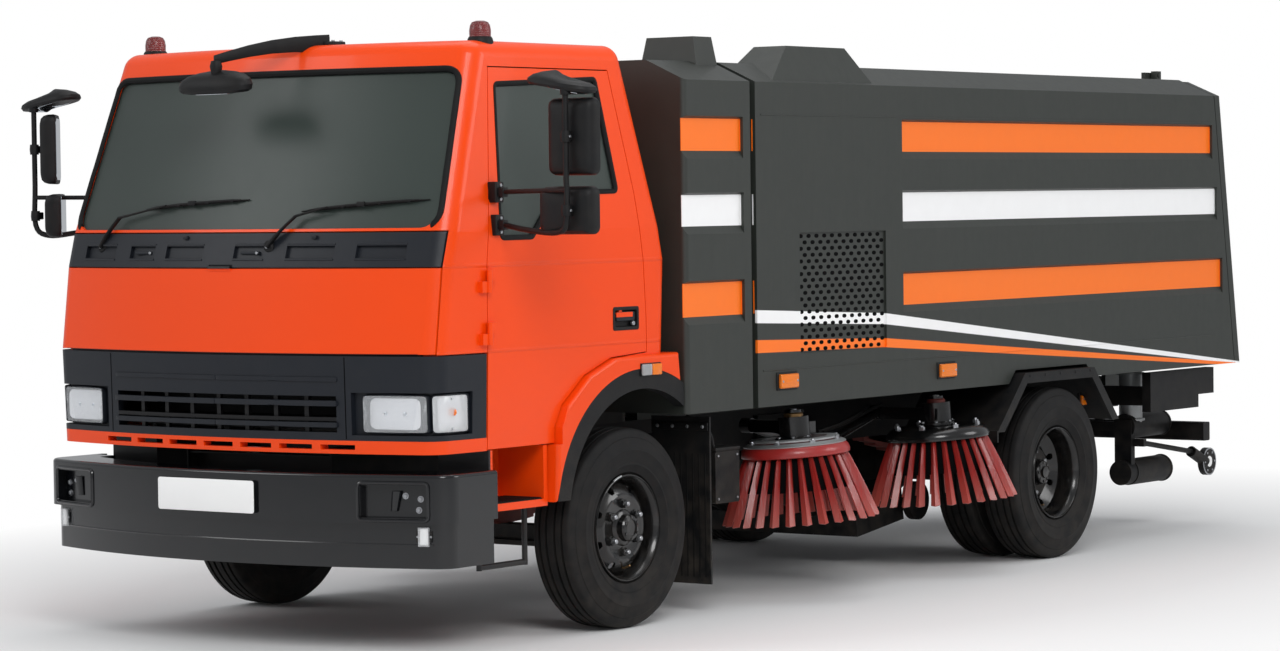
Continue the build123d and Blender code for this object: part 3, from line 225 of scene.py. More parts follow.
# ------------------------------------------------------------------------------------------- finishes
@dataclass(frozen=True)
class Finish:
    """One surface finish: its colour, how it shines and what roughens it."""

    name: str
    colour: Colour
    slot: str
    rough: float = 0.5
    metal: float = 0.0
    coat: float = 0.0
    shine: float = 0.5        # strength of the mirror-like part
    grain: float = 400.0      # bumps per metre
    depth: float = 0.0002     # how deep they are
    drift: float = 0.12       # how far the colour wanders over the surface
    soil: float = 0.25        # dust that has settled low down
    soil_colour: Colour = (0.16, 0.13, 0.10)

    def tint(self, shader: Shader) -> Field:
        """Clean colour over the surface."""
        shade = tuple(c * 0.72 for c in self.colour)
        return shader.mix(shader.noise(3.0) * self.drift * 2, self.colour, shade)

    def relief(self, shader: Shader) -> tuple[Field, float]:
        """Height pattern and its depth."""
        return shader.noise(self.grain, 2.0), self.depth

    def dust(self, shader: Shader) -> Field:
        """Mask of the dust."""
        low = shader.axis("Z").below(0.45, 0.9)
        return shader.noise(14.0, 6.0).above(0.52, 0.35) * (low * self.soil + self.soil * 0.12)

    def surface(self, shader: Shader, colour: Field, rough: Field, normal: Field) -> bpy.types.Material:
        """The finished material."""
        return shader.surface(base_color=colour, roughness=rough, metallic=self.metal, coat_weight=self.coat,
                              coat_roughness=0.08, specular_ior_level=self.shine, normal=normal)

    def dress(self) -> bpy.types.Material:
        """Build the material once and hand it out."""
        found = bpy.data.materials.get(self.name)
        if found:
            return found
        shader = Shader(self.name)
        dust = self.dust(shader)
        colour = shader.mix(dust, self.tint(shader), self.soil_colour)
        rough = dust * (0.85 - self.rough) + (shader.noise(22.0) - 0.5) * 0.16 * self.rough + self.rough
        height, depth = self.relief(shader)
        return self.surface(shader, colour, rough, shader.bump(height, depth))


@dataclass(frozen=True)
class CabPaint(Finish):
    """Gloss cab paint with two pressed swage lines, painted shade under and behind the front panels, and a black hinge
    strip.
    """

    def relief(self, shader: Shader) -> tuple[Field, float]:
        """Orange peel and the swage lines along the cab's sides."""
        z = shader.axis("Z")
        lines = z.between(1.549, 1.561, 0.008) + z.between(1.204, 1.214, 0.007)
        side = abs(shader.axis("X")).above(1.03, 0.01)
        return shader.noise(self.grain, 2.0) * 0.04 + lines * side, 0.0035

    def tint(self, shader: Shader) -> Field:
        """Paint, with painted shade in near-black inside the wheel arch, under the cab, behind the grille and under the
        apron, and a black hinge strip.
        """
        x, y, z = (shader.axis(letter) for letter in "XYZ")
        wide, soft = abs(x), 0.004
        arch, low = y.above(-1.08, soft), z.below(0.93, soft)
        # Painted shade: near-black where shade falls under the cab, inside the wheel arches, behind the grille and
        # under the apron.
        under = z.below(1.08, soft) * wide.below(0.972, soft) * arch
        inner = wide.between(0.90, 0.972, soft) * low * arch
        behind = z.between(0.864, 1.21, soft) * wide.below(0.965, soft) * y.below(-1.0, soft)
        shade_under_apron = low * wide.below(1.012, soft) * y.above(-1.22, soft)
        hinge = z.between(1.5485, 1.64) * wide.below(0.066) * y.below(-1.3)
        # The mix below paints that shade, and the hinge strip, in near-black.
        black = under.highest(inner, behind, shade_under_apron, hinge)
        return shader.mix(black, super().tint(shader), (0.006, 0.006, 0.007))


@dataclass(frozen=True)
class StepPaint(Finish):
    """Orange step paint with a black hoop below."""

    def tint(self, shader: Shader) -> Field:
        """Orange above the step, black below and inside."""
        soft = 0.002
        low = shader.axis("Z").below(0.557, soft)
        front = shader.axis("Y").below(-0.918, soft)
        inner = abs(shader.axis("X")).below(0.79, soft)
        return shader.mix(low.highest(front, inner), super().tint(shader), (0.010, 0.010, 0.011))


@dataclass(frozen=True)
class GrillePaint(Finish):
    """Moulded black, with painted shade on the set-back ribs."""

    def tint(self, shader: Shader) -> Field:
        """Moulded colour, with painted shade in near-black on the set-back ribs behind the bars."""
        x, z = abs(shader.axis("X")), shader.axis("Z")
        # Painted shade: the ribs set back behind the bars are darkened.
        ribs = x.below(0.598) * z.between(0.896, 1.039)
        return shader.mix(ribs, super().tint(shader), (0.003, 0.003, 0.004))


@dataclass(frozen=True)
class BodyPaint(Finish):
    """Sweeper body paint with recessed bands and sweeping lower stripes."""

    band: Colour = (0.9, 0.3, 0.02)
    white: Colour = (0.86, 0.86, 0.86)
    recess: tuple[float, float] = (1.0785, 1.0855)      # how far out the floors of the bands lie
    white_band: tuple[float, float] = (1.690, 1.825)
    bands: Pairs = ((2.015, 2.155), (1.300, 1.445))
    bend_y: float = 1.955                               # where the lower stripes bend
    white_stripe: tuple = ((1.268, -0.0448, -0.1056), (1.217, -0.039, -0.0958))
    band_stripe: tuple = ((1.152, -0.0295, -0.0753), (1.110, -0.0152, -0.0677))

    def tint(self, shader: Shader) -> Field:
        """Body colour, bands and stripes."""
        x, y, z = (shader.axis(letter) for letter in "XYZ")
        wide = abs(x)
        floor = wide.between(*self.recess)
        base = super().tint(shader)
        streaks = shader.noise(5.0, 4.0, (1.0, 9.0, 0.6)).above(0.5, 0.5) * 0.35
        base = shader.mix(streaks, base, tuple(c * 1.55 for c in self.colour))
        paint = shader.mix(floor * z.between(*self.white_band), base, self.white)
        upper, lower = (z.between(*edges) for edges in self.bands)
        paint = shader.mix(floor * (upper + lower), paint, self.band)
        far = y - self.bend_y
        side = wide.above(1.088, 0.002) * y.above(0.9)
        white, amber = (self._stripe(z, far, lines) for lines in (self.white_stripe, self.band_stripe))
        return shader.mix(side * amber, shader.mix(side * white, paint, self.white), self.band)

    @staticmethod
    def _stripe(z: Field, far: Field, lines: Sequence[tuple[float, float, float]]) -> Field:
        """Mask between two bent lines, each a height at the bend and its slopes before and after."""
        top, low = ((far * after + at).lowest(far * before + at) for at, before, after in lines)
        return (z - low).above(0, 0.002) * (z - top).below(0, 0.002)


@dataclass(frozen=True)
class ClearFinish(Finish):
    """Glass and clear or tinted plastic."""

    clear: float = 0.5        # share of light that passes straight through

    def surface(self, shader: Shader, colour: Field, rough: Field, normal: Field) -> bpy.types.Material:
        """Shiny surface that lets part of the light through."""
        return shader.surface(base_color=colour, roughness=rough, metallic=self.metal, coat_weight=self.coat,
                              coat_roughness=0.02, specular_ior_level=self.shine, normal=normal,
                              alpha=1 - self.clear)


@dataclass(frozen=True)
class FlutedFinish(ClearFinish):
    """Lamp lens with vertical flutes."""

    flutes: float = 120.0

    def relief(self, shader: Shader) -> tuple[Field, float]:
        """Flutes across the lens."""
        return shader.wave("X", self.flutes) + shader.wave("Z", self.flutes / 3) * 0.5, 0.0012


@dataclass(frozen=True)
class WovenFinish(Finish):
    """Seat cloth with a fine weave."""

    def relief(self, shader: Shader) -> tuple[Field, float]:
        """Crossed threads."""
        return shader.wave("X", 130.0) * shader.wave("Y", 130.0), 0.0005


@dataclass(frozen=True)
class BristleFinish(Finish):
    """Moulded plastic bristle with fine ribs down its length."""

    def relief(self, shader: Shader) -> tuple[Field, float]:
        """Ribs and scuffs."""
        return shader.noise(140.0, 2.0, (1.0, 1.0, 0.08)), 0.0016

    def tint(self, shader: Shader) -> Field:
        """Colour that fades and greys towards the worn tips."""
        worn = shader.axis("Z").below(0.42, 0.16)
        streak = shader.noise(90.0, 3.0, (1.0, 1.0, 0.1)).above(0.5, 0.5)
        faded = shader.mix(streak * 0.55, self.colour, tuple(c * 0.45 + 0.02 for c in self.colour))
        return shader.mix(worn * 0.35, faded, (0.55, 0.16, 0.12))


class Paint:
    """The truck's finishes."""

    CAB = CabPaint("cab_orange", srgb(241, 71, 4), "orange_paint", 0.34, coat=0.16, shine=0.25, depth=0.00003,
                   drift=0.04, soil=0.04)
    TRIM = StepPaint("step_orange", srgb(241, 71, 4), "orange_paint", 0.36, coat=0.14, shine=0.25, depth=0.00003,
                     drift=0.04, soil=0.08)
    BODY = BodyPaint("body_green", srgb(35, 39, 35), "green_paint", 0.5, coat=0.05, grain=500, depth=0.00012,
                     drift=0.10, soil=0.16, band=srgb(252, 116, 5), white=srgb(244, 244, 244))
    PANEL = Finish("moulded_black", srgb(24, 28, 35), "dark_panel", 0.42, shine=0.3, grain=700, soil=0.14)
    GRILLE = GrillePaint("grille_black", srgb(24, 28, 35), "dark_panel", 0.42, shine=0.3, grain=700, soil=0.1)
    BUMPER = Finish("bumper_black", srgb(9, 11, 15), "dark_panel", 0.2, coat=0.35, shine=0.4, grain=300,
                    depth=0.00003, soil=0.03)
    PLASTIC = Finish("grained_black", srgb(13, 14, 16), "black_plastic", 0.5, shine=0.25, grain=900, depth=0.0004)
    RUBBER = Finish("seal_rubber", srgb(8, 9, 10), "black_plastic", 0.6, shine=0.2, grain=600, depth=0.0003, soil=0.1)
    HOSE = Finish("hose_rubber", srgb(15, 16, 18), "black_plastic", 0.5, shine=0.3, grain=220, depth=0.0006, soil=0.3)
    # Near-black for the seam beside the grille, and painted shade for the perforation holes and inside the disc
    # brushes.
    GAP_AND_SHADE = Finish("dark_gap", srgb(4, 4, 5), "black_plastic", 0.9, shine=0.1, depth=0.0, soil=0.0, drift=0.0)
    TYRE = Finish("tyre_rubber", srgb(16, 16, 17), "tyre", 0.68, shine=0.25, grain=260, depth=0.0004, soil=0.10)
    STEEL_BLACK = Finish("black_steel", srgb(7, 8, 10), "frame_paint", 0.22, coat=0.4, shine=0.4, grain=300, soil=0.12)
    FRAME = Finish("chassis_black", srgb(9, 10, 12), "frame_paint", 0.5, shine=0.25, grain=200, depth=0.0005,
                   soil=0.16)
    BLUE = Finish("cylinder_blue", srgb(40, 84, 120), "frame_paint", 0.4, coat=0.2, grain=200, depth=0.0003, soil=0.35)
    RUSTY = Finish("red_motor", srgb(118, 46, 40), "frame_paint", 0.5, grain=160, depth=0.0006, soil=0.35)
    CAST = Finish("cast_iron", srgb(40, 39, 39), "cast", 0.62, metal=0.4, grain=180, depth=0.0008, soil=0.3)
    STEEL = Finish("bright_steel", srgb(176, 178, 182), "steel", 0.3, metal=0.9, grain=500, depth=0.0001)
    CHROME = Finish("lamp_reflector", srgb(246, 247, 250), "steel", 0.16, metal=0.5, grain=60, depth=0.0004,
                    drift=0.02, soil=0.0)
    BRASS = Finish("worn_brass", srgb(150, 118, 78), "steel", 0.38, metal=0.8, grain=160, depth=0.0003, soil=0.3)
    ZINC = Finish("galvanised_steel", srgb(168, 171, 172), "galvanised", 0.42, metal=0.7, grain=90, depth=0.0003,
                  soil=0.35)
    MIRROR = Finish("mirror_glass", srgb(205, 212, 218), "window", 0.05, metal=1.0, depth=0.0, drift=0.0, soil=0.0)
    GLASS = ClearFinish("tinted_glass", srgb(56, 65, 61), "window", 0.36, shine=0.4, depth=0.0, drift=0.1, soil=0.02,
                        clear=0.16)
    LENS = FlutedFinish("fluted_lens", srgb(236, 239, 242), "lens", 0.06, coat=0.3, drift=0.0, soil=0.0, clear=0.80,
                        flutes=42.0)
    CLEAR = ClearFinish("clear_lens", srgb(236, 238, 240), "lens", 0.08, coat=0.3, depth=0.0, drift=0.0, soil=0.02,
                        clear=0.62)
    AMBER = FlutedFinish("amber_lens", srgb(250, 128, 6), "lens", 0.12, coat=0.3, drift=0.02, soil=0.05, clear=0.12)
    RED = FlutedFinish("red_lens", srgb(120, 12, 12), "lens", 0.12, coat=0.3, drift=0.02, soil=0.05, clear=0.12)
    BULB = ClearFinish("amber_bulb", srgb(242, 120, 30), "lens", 0.1, coat=0.3, drift=0.0, soil=0.0, clear=0.1)
    PLATE = Finish("blank_plate", srgb(244, 244, 243), "lens", 0.35, grain=300, depth=0.00005, drift=0.01, soil=0.03)
    BRISTLE = BristleFinish("red_bristle", srgb(158, 28, 22), "bristle", 0.34, coat=0.2, drift=0.2, soil=0.1)
    COLLAR = Finish("red_collar", srgb(158, 30, 28), "bristle", 0.38, coat=0.25, grain=200, depth=0.0003)
    CLOTH = WovenFinish("seat_cloth", srgb(38, 40, 46), "seat_cloth", 0.92, drift=0.2, soil=0.0)
    INTERIOR = Finish("cabin_trim", srgb(58, 59, 60), "trim", 0.72, grain=700, depth=0.0004, soil=0.05)


# ------------------------------------------------------------------------------------------- meshes
def bend(start: Vector, corner: Vector, end: Vector, steps: int) -> list[Vector]:
    """Points along a curve that leaves one end towards a corner and turns to the other."""
    return [(1 - t) ** 2 * start + 2 * t * (1 - t) * corner + t ** 2 * end
            for t in (k / steps for k in range(steps + 1))]


def smooth_path(points: Sequence[Point], steps: int = 6) -> list[Vector]:
    """Round a path through its points.

    Args:
        points: Points that the path passes through.
        steps: Pieces that each run is divided in.
    Returns:
        The denser path.
    """
    pts = [Vector(p) for p in points]
    ends = [pts[0] * 2 - pts[1], *pts, pts[-1] * 2 - pts[-2]]
    path = []
    for a, b, c, d in zip(ends, ends[1:], ends[2:], ends[3:]):
        square, cube = 2 * a - 5 * b + 4 * c - d, 3 * b - a - 3 * c + d
        for t in (k / steps for k in range(steps)):
            path.append(0.5 * ((2 * b) + (c - a) * t + square * t ** 2 + cube * t ** 3))
    return [*path, pts[-1]]


def turns(count: int) -> list[float]:
    """Even angles round a full circle."""
    return [2 * math.pi * k / count for k in range(count)]


def oval(count: int, wide: float, tall: float, square: tuple[float, float]) -> list[tuple[float, float]]:
    """Closed outline between an ellipse and a rectangle.

    Args:
        count: Points round it.
        wide, tall: Half its width and height.
        square: Powers of the cosine and the sine, 1 for an ellipse.
    Returns:
        Two-dimensional points.
    """
    def push(value: float, power: float) -> float:
        """A cosine or sine pushed outwards, with its sign kept."""
        return math.copysign(abs(value) ** power, value)

    return [(push(math.cos(a), square[0]) * wide, push(math.sin(a), square[1]) * tall) for a in turns(count)]


def oblong(low: Sequence[float], high: Sequence[float], radius: float, steps: int, run: float) -> list[Vector]:
    """Rectangle with rounded corners between its lowest and highest corner."""
    (x0, y0), (x1, y1) = low, high
    return rounded([(x0, y0), (x1, y0), (x1, y1), (x0, y1)], radius, steps, run)


def rounded(points: Pairs, radius: float, steps: int, run: float) -> list[Vector]:
    """Closed flat outline with rounded corners and divided long sides.

    Args:
        points: Corners of the outline.
        radius: Radius of the corners.
        steps: Pieces in each rounded corner.
        run: Longest straight piece.
    Returns:
        Two-dimensional points.
    """
    corners = [Vector(p) for p in points]
    out: list[Vector] = []
    for k, corner in enumerate(corners):
        back, ahead = corners[k - 1] - corner, corners[(k + 1) % len(corners)] - corner
        half = back.normalized().angle(ahead.normalized()) / 2
        reach = min(radius / math.tan(half), 0.45 * min(back.length, ahead.length))
        out += bend(corner + back.normalized() * reach, corner, corner + ahead.normalized() * reach, steps)
    dense: list[Vector] = []
    for a, b in zip(out, out[1:] + out[:1]):
        parts = max(1, math.ceil((b - a).length / run))
        dense += [a.lerp(b, s / parts) for s in range(parts)]
    return dense


class Form:
    """A mesh under construction, which may carry several finishes."""

    def __init__(self, finish: Finish) -> None:
        """Start an empty form in one finish."""
        self.bm = bmesh.new()
        self.finishes = [finish]
        self.current = 0

    def use(self, finish: Finish) -> "Form":
        """Make the next faces in another finish."""
        if finish not in self.finishes:
            self.finishes.append(finish)
        self.current = self.finishes.index(finish)
        return self

    def face(self, verts: Sequence[bmesh.types.BMVert]) -> None:
        """Add one face, leaving out doubled corners."""
        unique = list(dict.fromkeys(verts))
        if len(unique) > 2:
            face = self.bm.faces.new(unique)
            face.material_index = self.current
            face.smooth = True

    def points(self, ring: Iterable[Point]) -> list[bmesh.types.BMVert]:
        """Add loose points."""
        return [self.bm.verts.new(Vector(p)) for p in ring]

    def band(self, first: Sequence[bmesh.types.BMVert], second: Sequence[bmesh.types.BMVert]) -> None:
        """Join two rings of equal counts."""
        count = len(first)
        for k in range(count):
            n = (k + 1) % count
            self.face((first[k], first[n], second[n], second[k]))

    def loft(self, rings: Sequence[Sequence[Point]], closed: bool = False) -> "Form":
        """Join rings of equal counts, and fill the ends unless the last ring joins the first."""
        made = [self.points(ring) for ring in rings]
        for a, b in zip(made, made[1:]):
            self.band(a, b)
        if closed:
            self.band(made[-1], made[0])
        else:
            self.face(made[0][::-1])
            self.face(made[-1])
        return self

    def lathe(self, profile: Pairs, centre: Point = ORIGIN, axis: Point = UP, steps: int = 48,
              closed: bool = False) -> "Form":
        """Turn a profile round an axis.

        Args:
            profile: Pairs of radius and distance along the axis.
            centre: Where the axis starts.
            axis: Its direction.
            steps: Pieces round the circle.
            closed: Whether the profile is a closed loop.
        Returns:
            The form.
        """
        way = Vector(axis).normalized()
        side = way.orthogonal().normalized()
        up = way.cross(side)
        rings = []
        for radius, along in profile:
            middle = Vector(centre) + way * along
            rings.append([middle + (side * math.cos(a) + up * math.sin(a)) * max(radius, DOUBLES)
                          for a in turns(steps)])
        return self.loft(rings, closed=closed)

    def disc(self, radius: float, low: float, high: float, centre: Point, axis: Point = UP, steps: int = 18) -> "Form":
        """Plain round disc between two distances along its axis."""
        return self.lathe([(0, low), (radius, low), (radius, high), (0, high)], centre, axis, steps)

    def tube(self, path: Sequence[Point], radius: Union[float, Sequence[float]], sides: int = 12,
             flat: float = 1.0) -> "Form":
        """Sweep a round or flattened section along a path.

        Args:
            path: Points of the middle line.
            radius: One radius, or one for each point.
            sides: Sides of the section.
            flat: Height of the section as a share of its width.
        Returns:
            The form.
        """
        pts = [Vector(p) for p in path]
        radii = [radius] * len(pts) if isinstance(radius, (int, float)) else list(radius)
        way = (pts[1] - pts[0]).normalized()
        side = way.cross(Vector(UP))
        side = way.orthogonal().normalized() if side.length < 0.05 else side.normalized()
        rings = []
        for k, point in enumerate(pts):
            ahead = pts[min(k + 1, len(pts) - 1)] - pts[max(k - 1, 0)]
            ahead.normalize()
            side = (side - ahead * side.dot(ahead)).normalized()
            up = ahead.cross(side)
            rings.append([point + side * math.cos(a) * radii[k] + up * math.sin(a) * radii[k] * flat
                          for a in turns(sides)])
        return self.loft(rings)

    def slab(self, outline: Sequence[Point], depth: Point, edge: float = 0.0, steps: int = 2) -> "Form":
        """Plate of any outline with eased edges.

        Args:
            outline: Points round the plate's face.
            depth: Direction and length of its thickness.
            edge: Radius of its edges.
            steps: Pieces in each edge.
        Returns:
            The form.
        """
        pts = [Vector(p) for p in outline]
        thick = Vector(depth)
        centre = sum(pts, Vector()) / len(pts)
        way = thick.normalized()
        normals = []
        for k, point in enumerate(pts):
            along = (pts[(k + 1) % len(pts)] - pts[k - 1]).normalized()
            out = along.cross(way)
            normals.append(out if out.dot(point - centre) > 0 else -out)
        levels = [(0.0, 0.0)]
        if edge:
            eases = [math.pi / 2 * s / steps for s in range(steps + 1)]
            levels = [(edge * (1 - math.sin(t)), edge * (1 - math.cos(t))) for t in eases]
        rows = [[p - n * inset + way * lift for p, n in zip(pts, normals)] for inset, lift in levels]
        rows += [[p - n * inset + thick - way * lift for p, n in zip(pts, normals)]
                 for inset, lift in reversed(levels)]
        return self.loft(rows)

    def plate(self, low: Sequence[float], high: Sequence[float], radius: float, place: Callable, depth: Point,
              edge: float, run: float = 0.05) -> "Form":
        """Rounded rectangular plate, its flat outline put in space by a function of two numbers."""
        return self.slab([place(p.x, p.y) for p in oblong(low, high, radius, 4, run)], depth, edge)

    def block(self, low: Point, high: Point, edge: float, steps: int = 2) -> "Form":
        """Box with eased edges between two corners."""
        a, b = Vector(low), Vector(high)
        flat = oblong(a.xy, b.xy, edge * 1.4, 3, 9.0)
        return self.slab([(p.x, p.y, a.z) for p in flat], (0, 0, b.z - a.z), edge, steps)

    def knob(self, centre: Point, low: Point, high: Point, edge: float, steps: int = 2) -> "Form":
        """Box with eased edges, its two corners measured from a place."""
        return self.block(Vector(centre) + Vector(low), Vector(centre) + Vector(high), edge, steps)

    def hexagon(self, centre: Point, axis: Point, across: float, height: float) -> "Form":
        """Hexagonal nut with a chamfered top."""
        r = across / math.sqrt(3)
        return self.lathe([(0, 0), (r, 0), (r, height * 0.8), (r * 0.82, height), (0, height)], centre, axis, 6)

    def bolts(self, spots: Iterable[Point], axis: Point, across: float, height: float) -> "Form":
        """Bright hexagon heads at several places."""
        for spot in spots:
            self.use(Paint.STEEL).hexagon(spot, axis, across, height)
        return self

    def join(self, other: "Form", matrix: Matrix = Matrix.Identity(4)) -> "Form":
        """Add a copy of another form, moved by a matrix."""
        index = [self.use(finish).current for finish in other.finishes]
        verts = {v: self.bm.verts.new(matrix @ v.co) for v in other.bm.verts}
        flip = matrix.determinant() < 0
        for face in other.bm.faces:
            loop = [verts[v] for v in face.verts]
            made = self.bm.faces.new(loop[::-1] if flip else loop)
            made.material_index = index[face.material_index]
            made.smooth = face.smooth
        return self

    def mirrored(self) -> "Form":
        """The same form on the truck's other side."""
        return Form(self.finishes[0]).join(self, Matrix.Scale(-1, 4, OUT))

    def both(self) -> "Form":
        """The form and its mirror image together."""
        return Form(self.finishes[0]).join(self).join(self, Matrix.Scale(-1, 4, OUT))

    def finish(self, name: str, body: str, replaces: Iterable[str] = (), crease: float = 32.0) -> bpy.types.Object:
        """Turn the form into a piece of the truck, its faces outwards and doubled points joined.

        Args:
            name: The piece's name.
            body: The body it moves with.
            replaces: CAD nodes it stands for.
            crease: Edges sharper than this many degrees stay sharp.
        Returns:
            The new object.
        """
        bmesh.ops.remove_doubles(self.bm, verts=self.bm.verts, dist=DOUBLES)
        bmesh.ops.recalc_face_normals(self.bm, faces=self.bm.faces)
        for edge in self.bm.edges:
            edge.smooth = not (len(edge.link_faces) == 2 and edge.calc_face_angle(0) > math.radians(crease))
        mesh = bpy.data.meshes.new(name)
        self.bm.to_mesh(mesh)
        self.bm.free()
        mesh.transform(Matrix.Translation((0, AXLE_Y, 0)))
        piece = bpy.data.objects.new(name, mesh)
        bpy.context.scene.collection.objects.link(piece)
        for finish in self.finishes:
            mesh.materials.append(finish.dress())
        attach(piece, body)
        if replaces:
            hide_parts(*replaces)
        LOG.info("%s: %d faces on %s", name, len(mesh.polygons), body)
        return piece


# ------------------------------------------------------------------------------------------- repeated pieces
class Layout(Enum):
    """How a repeated unit is laid out."""

    RING = "ring"
    GRID = "grid"
    ROW = "row"


class Repeater:
    """Geometry Nodes tree that copies one unit round a ring, over a staggered grid or along a row."""

    def __init__(self, layout: Layout) -> None:
        """Build the tree for one layout."""
        self.layout = layout
        self.tree = bpy.data.node_groups.new(f"repeat_{layout.value}", "GeometryNodeTree")
        face = self.tree.interface
        face.new_socket("Geometry", in_out="OUTPUT", socket_type="NodeSocketGeometry")
        self.inputs = {}
        kinds = {"Unit": "Object", "Count": "Int", "Rows": "Int", "Finish": "Material",
                 "Radius": "Float", "Pitch Across": "Float", "Pitch Up": "Float"}
        for label, kind in kinds.items():
            socket = face.new_socket(label, in_out="INPUT", socket_type=f"NodeSocket{kind}")
            self.inputs[label] = socket.identifier
        self.source = self._node("NodeGroupInput").outputs
        getattr(self, f"_{layout.value}")()

    def _node(self, kind: str, settings: Optional[dict] = None, **links: object) -> bpy.types.Node:
        """Add a node with its settings, and values or links for its sockets by name."""
        node = self.tree.nodes.new(kind)
        for key, value in (settings or {}).items():
            setattr(node, key, value)
        for key, value in links.items():
            self._feed(node, key.replace("_", " "), value)
        return node

    def _feed(self, node: bpy.types.Node, key: Union[str, int], value: object) -> None:
        """Give one socket a value or a link."""
        if isinstance(value, bpy.types.NodeSocket):
            self.tree.links.new(value, node.inputs[key])
        else:
            node.inputs[key].default_value = value

    def _maths(self, operation: str, first: object, second: object = 0.0) -> bpy.types.NodeSocket:
        """Result of one Math node on two values."""
        node = self._node("ShaderNodeMath", {"operation": operation})
        self._feed(node, 0, first)
        self._feed(node, 1, second)
        return node.outputs[0]

    def _close(self, points: bpy.types.NodeSocket, rotation: Optional[bpy.types.NodeSocket] = None) -> None:
        """Put the unit on the points, realise the copies and give them their finish."""
        unit = self._node("GeometryNodeObjectInfo", {"transform_space": "RELATIVE"}, Object=self.source["Unit"])
        copies = self._node("GeometryNodeInstanceOnPoints", Points=points, Instance=unit.outputs["Geometry"])
        if rotation:
            self._feed(copies, "Rotation", rotation)
        solid = self._node("GeometryNodeRealizeInstances", Geometry=copies.outputs[0])
        dressed = self._node("GeometryNodeSetMaterial", Geometry=solid.outputs[0], Material=self.source["Finish"])
        self._node("NodeGroupOutput", Geometry=dressed.outputs[0])

    def _ring(self) -> None:
        """Points round a circle, each unit's X pointing outwards."""
        circle = self._node("GeometryNodeMeshCircle", Vertices=self.source["Count"], Radius=self.source["Radius"])
        place = self._node("GeometryNodeInputPosition")
        turn = self._node("FunctionNodeAlignRotationToVector", {"axis": "X"}, Vector=place.outputs[0])
        self._close(circle.outputs[0], turn.outputs[0])

    def _row(self) -> None:
        """Points along X from the origin."""
        step = self._node("ShaderNodeCombineXYZ", X=self.source["Pitch Across"])
        line = self._node("GeometryNodeMeshLine", {"mode": "OFFSET"}, Count=self.source["Count"],
                          Offset=step.outputs[0])
        self._close(line.outputs[0])

    def _grid(self) -> None:
        """Rows of points, every other row moved by half a pitch."""
        count, rows, across, up = (self.source[label] for label in ("Count", "Rows", "Pitch Across", "Pitch Up"))
        wide = self._maths("MULTIPLY", self._maths("SUBTRACT", count, 1.0), across)
        tall = self._maths("MULTIPLY", self._maths("SUBTRACT", rows, 1.0), up)
        grid = self._node("GeometryNodeMeshGrid", Size_X=wide, Size_Y=tall, Vertices_X=count, Vertices_Y=rows)
        place = self._node("GeometryNodeInputPosition")
        split = self._node("ShaderNodeSeparateXYZ", Vector=place.outputs[0])
        height = self._maths("ADD", split.outputs["Y"], self._maths("MULTIPLY", tall, 0.5))
        odd = self._maths("MODULO", self._maths("ROUND", self._maths("DIVIDE", height, up)), 2.0)
        slide = self._maths("MULTIPLY", odd, self._maths("MULTIPLY", across, 0.5))
        shift = self._node("ShaderNodeCombineXYZ", X=slide)
        moved = self._node("GeometryNodeSetPosition", Geometry=grid.outputs[0], Offset=shift.outputs[0])
        self._close(moved.outputs[0])

    def lay(self, unit: Form, count: int, rows: int = 1, **sizes: float) -> Form:
        """Lay out copies of a unit.

        Args:
            unit: The form to repeat, drawn at the origin.
            count: Copies round the ring or along a row.
            rows: Rows of a grid.
            sizes: Radius or pitches, with underscores for spaces.
        Returns:
            A form of all the copies, at the origin.
        """
        values = {"Count": count, "Rows": rows, **{key.replace("_", " "): value for key, value in sizes.items()}}
        whole = Form(unit.finishes[0])
        for finish in unit.finishes:
            part = Form(finish).join(unit)
            others = [f for f in part.bm.faces if part.finishes[f.material_index] != finish]
            bmesh.ops.delete(part.bm, geom=others, context="FACES")
            whole.join(self._copies(part, {**values, "Finish": finish.dress()}))
        return whole

    def _copies(self, part: Form, values: dict) -> Form:
        """Form of the copies of a part that is all in one finish, for the tree's inputs by name."""
        holder, host = (bpy.data.objects.new(name, bpy.data.meshes.new(name)) for name in ("unit", "host"))
        part.bm.to_mesh(holder.data)
        for made in (holder, host):
            bpy.context.scene.collection.objects.link(made)
        modifier = host.modifiers.new("Repeat", "NODES")
        modifier.node_group = self.tree
        for label, value in {"Unit": holder, **values}.items():
            modifier[self.inputs[label]] = value
        bpy.context.view_layer.update()
        copies = Form(part.finishes[0])
        copies.bm.from_mesh(bpy.data.meshes.new_from_object(host.evaluated_get(bpy.context.evaluated_depsgraph_get())))
        for face in copies.bm.faces:
            face.material_index = 0
            face.smooth = True
        for made in (holder, host):
            bpy.data.objects.remove(made)
        return copies


RING, GRID, ROW = (Repeater(layout) for layout in Layout)


def upright(centre: Point, axis: Point) -> Matrix:
    """Matrix that stands a form drawn on the origin round Z at a place, with Z along an axis."""
    turn = Vector(UP).rotation_difference(Vector(axis)).to_matrix().to_4x4()
    return Matrix.Translation(Vector(centre)) @ turn


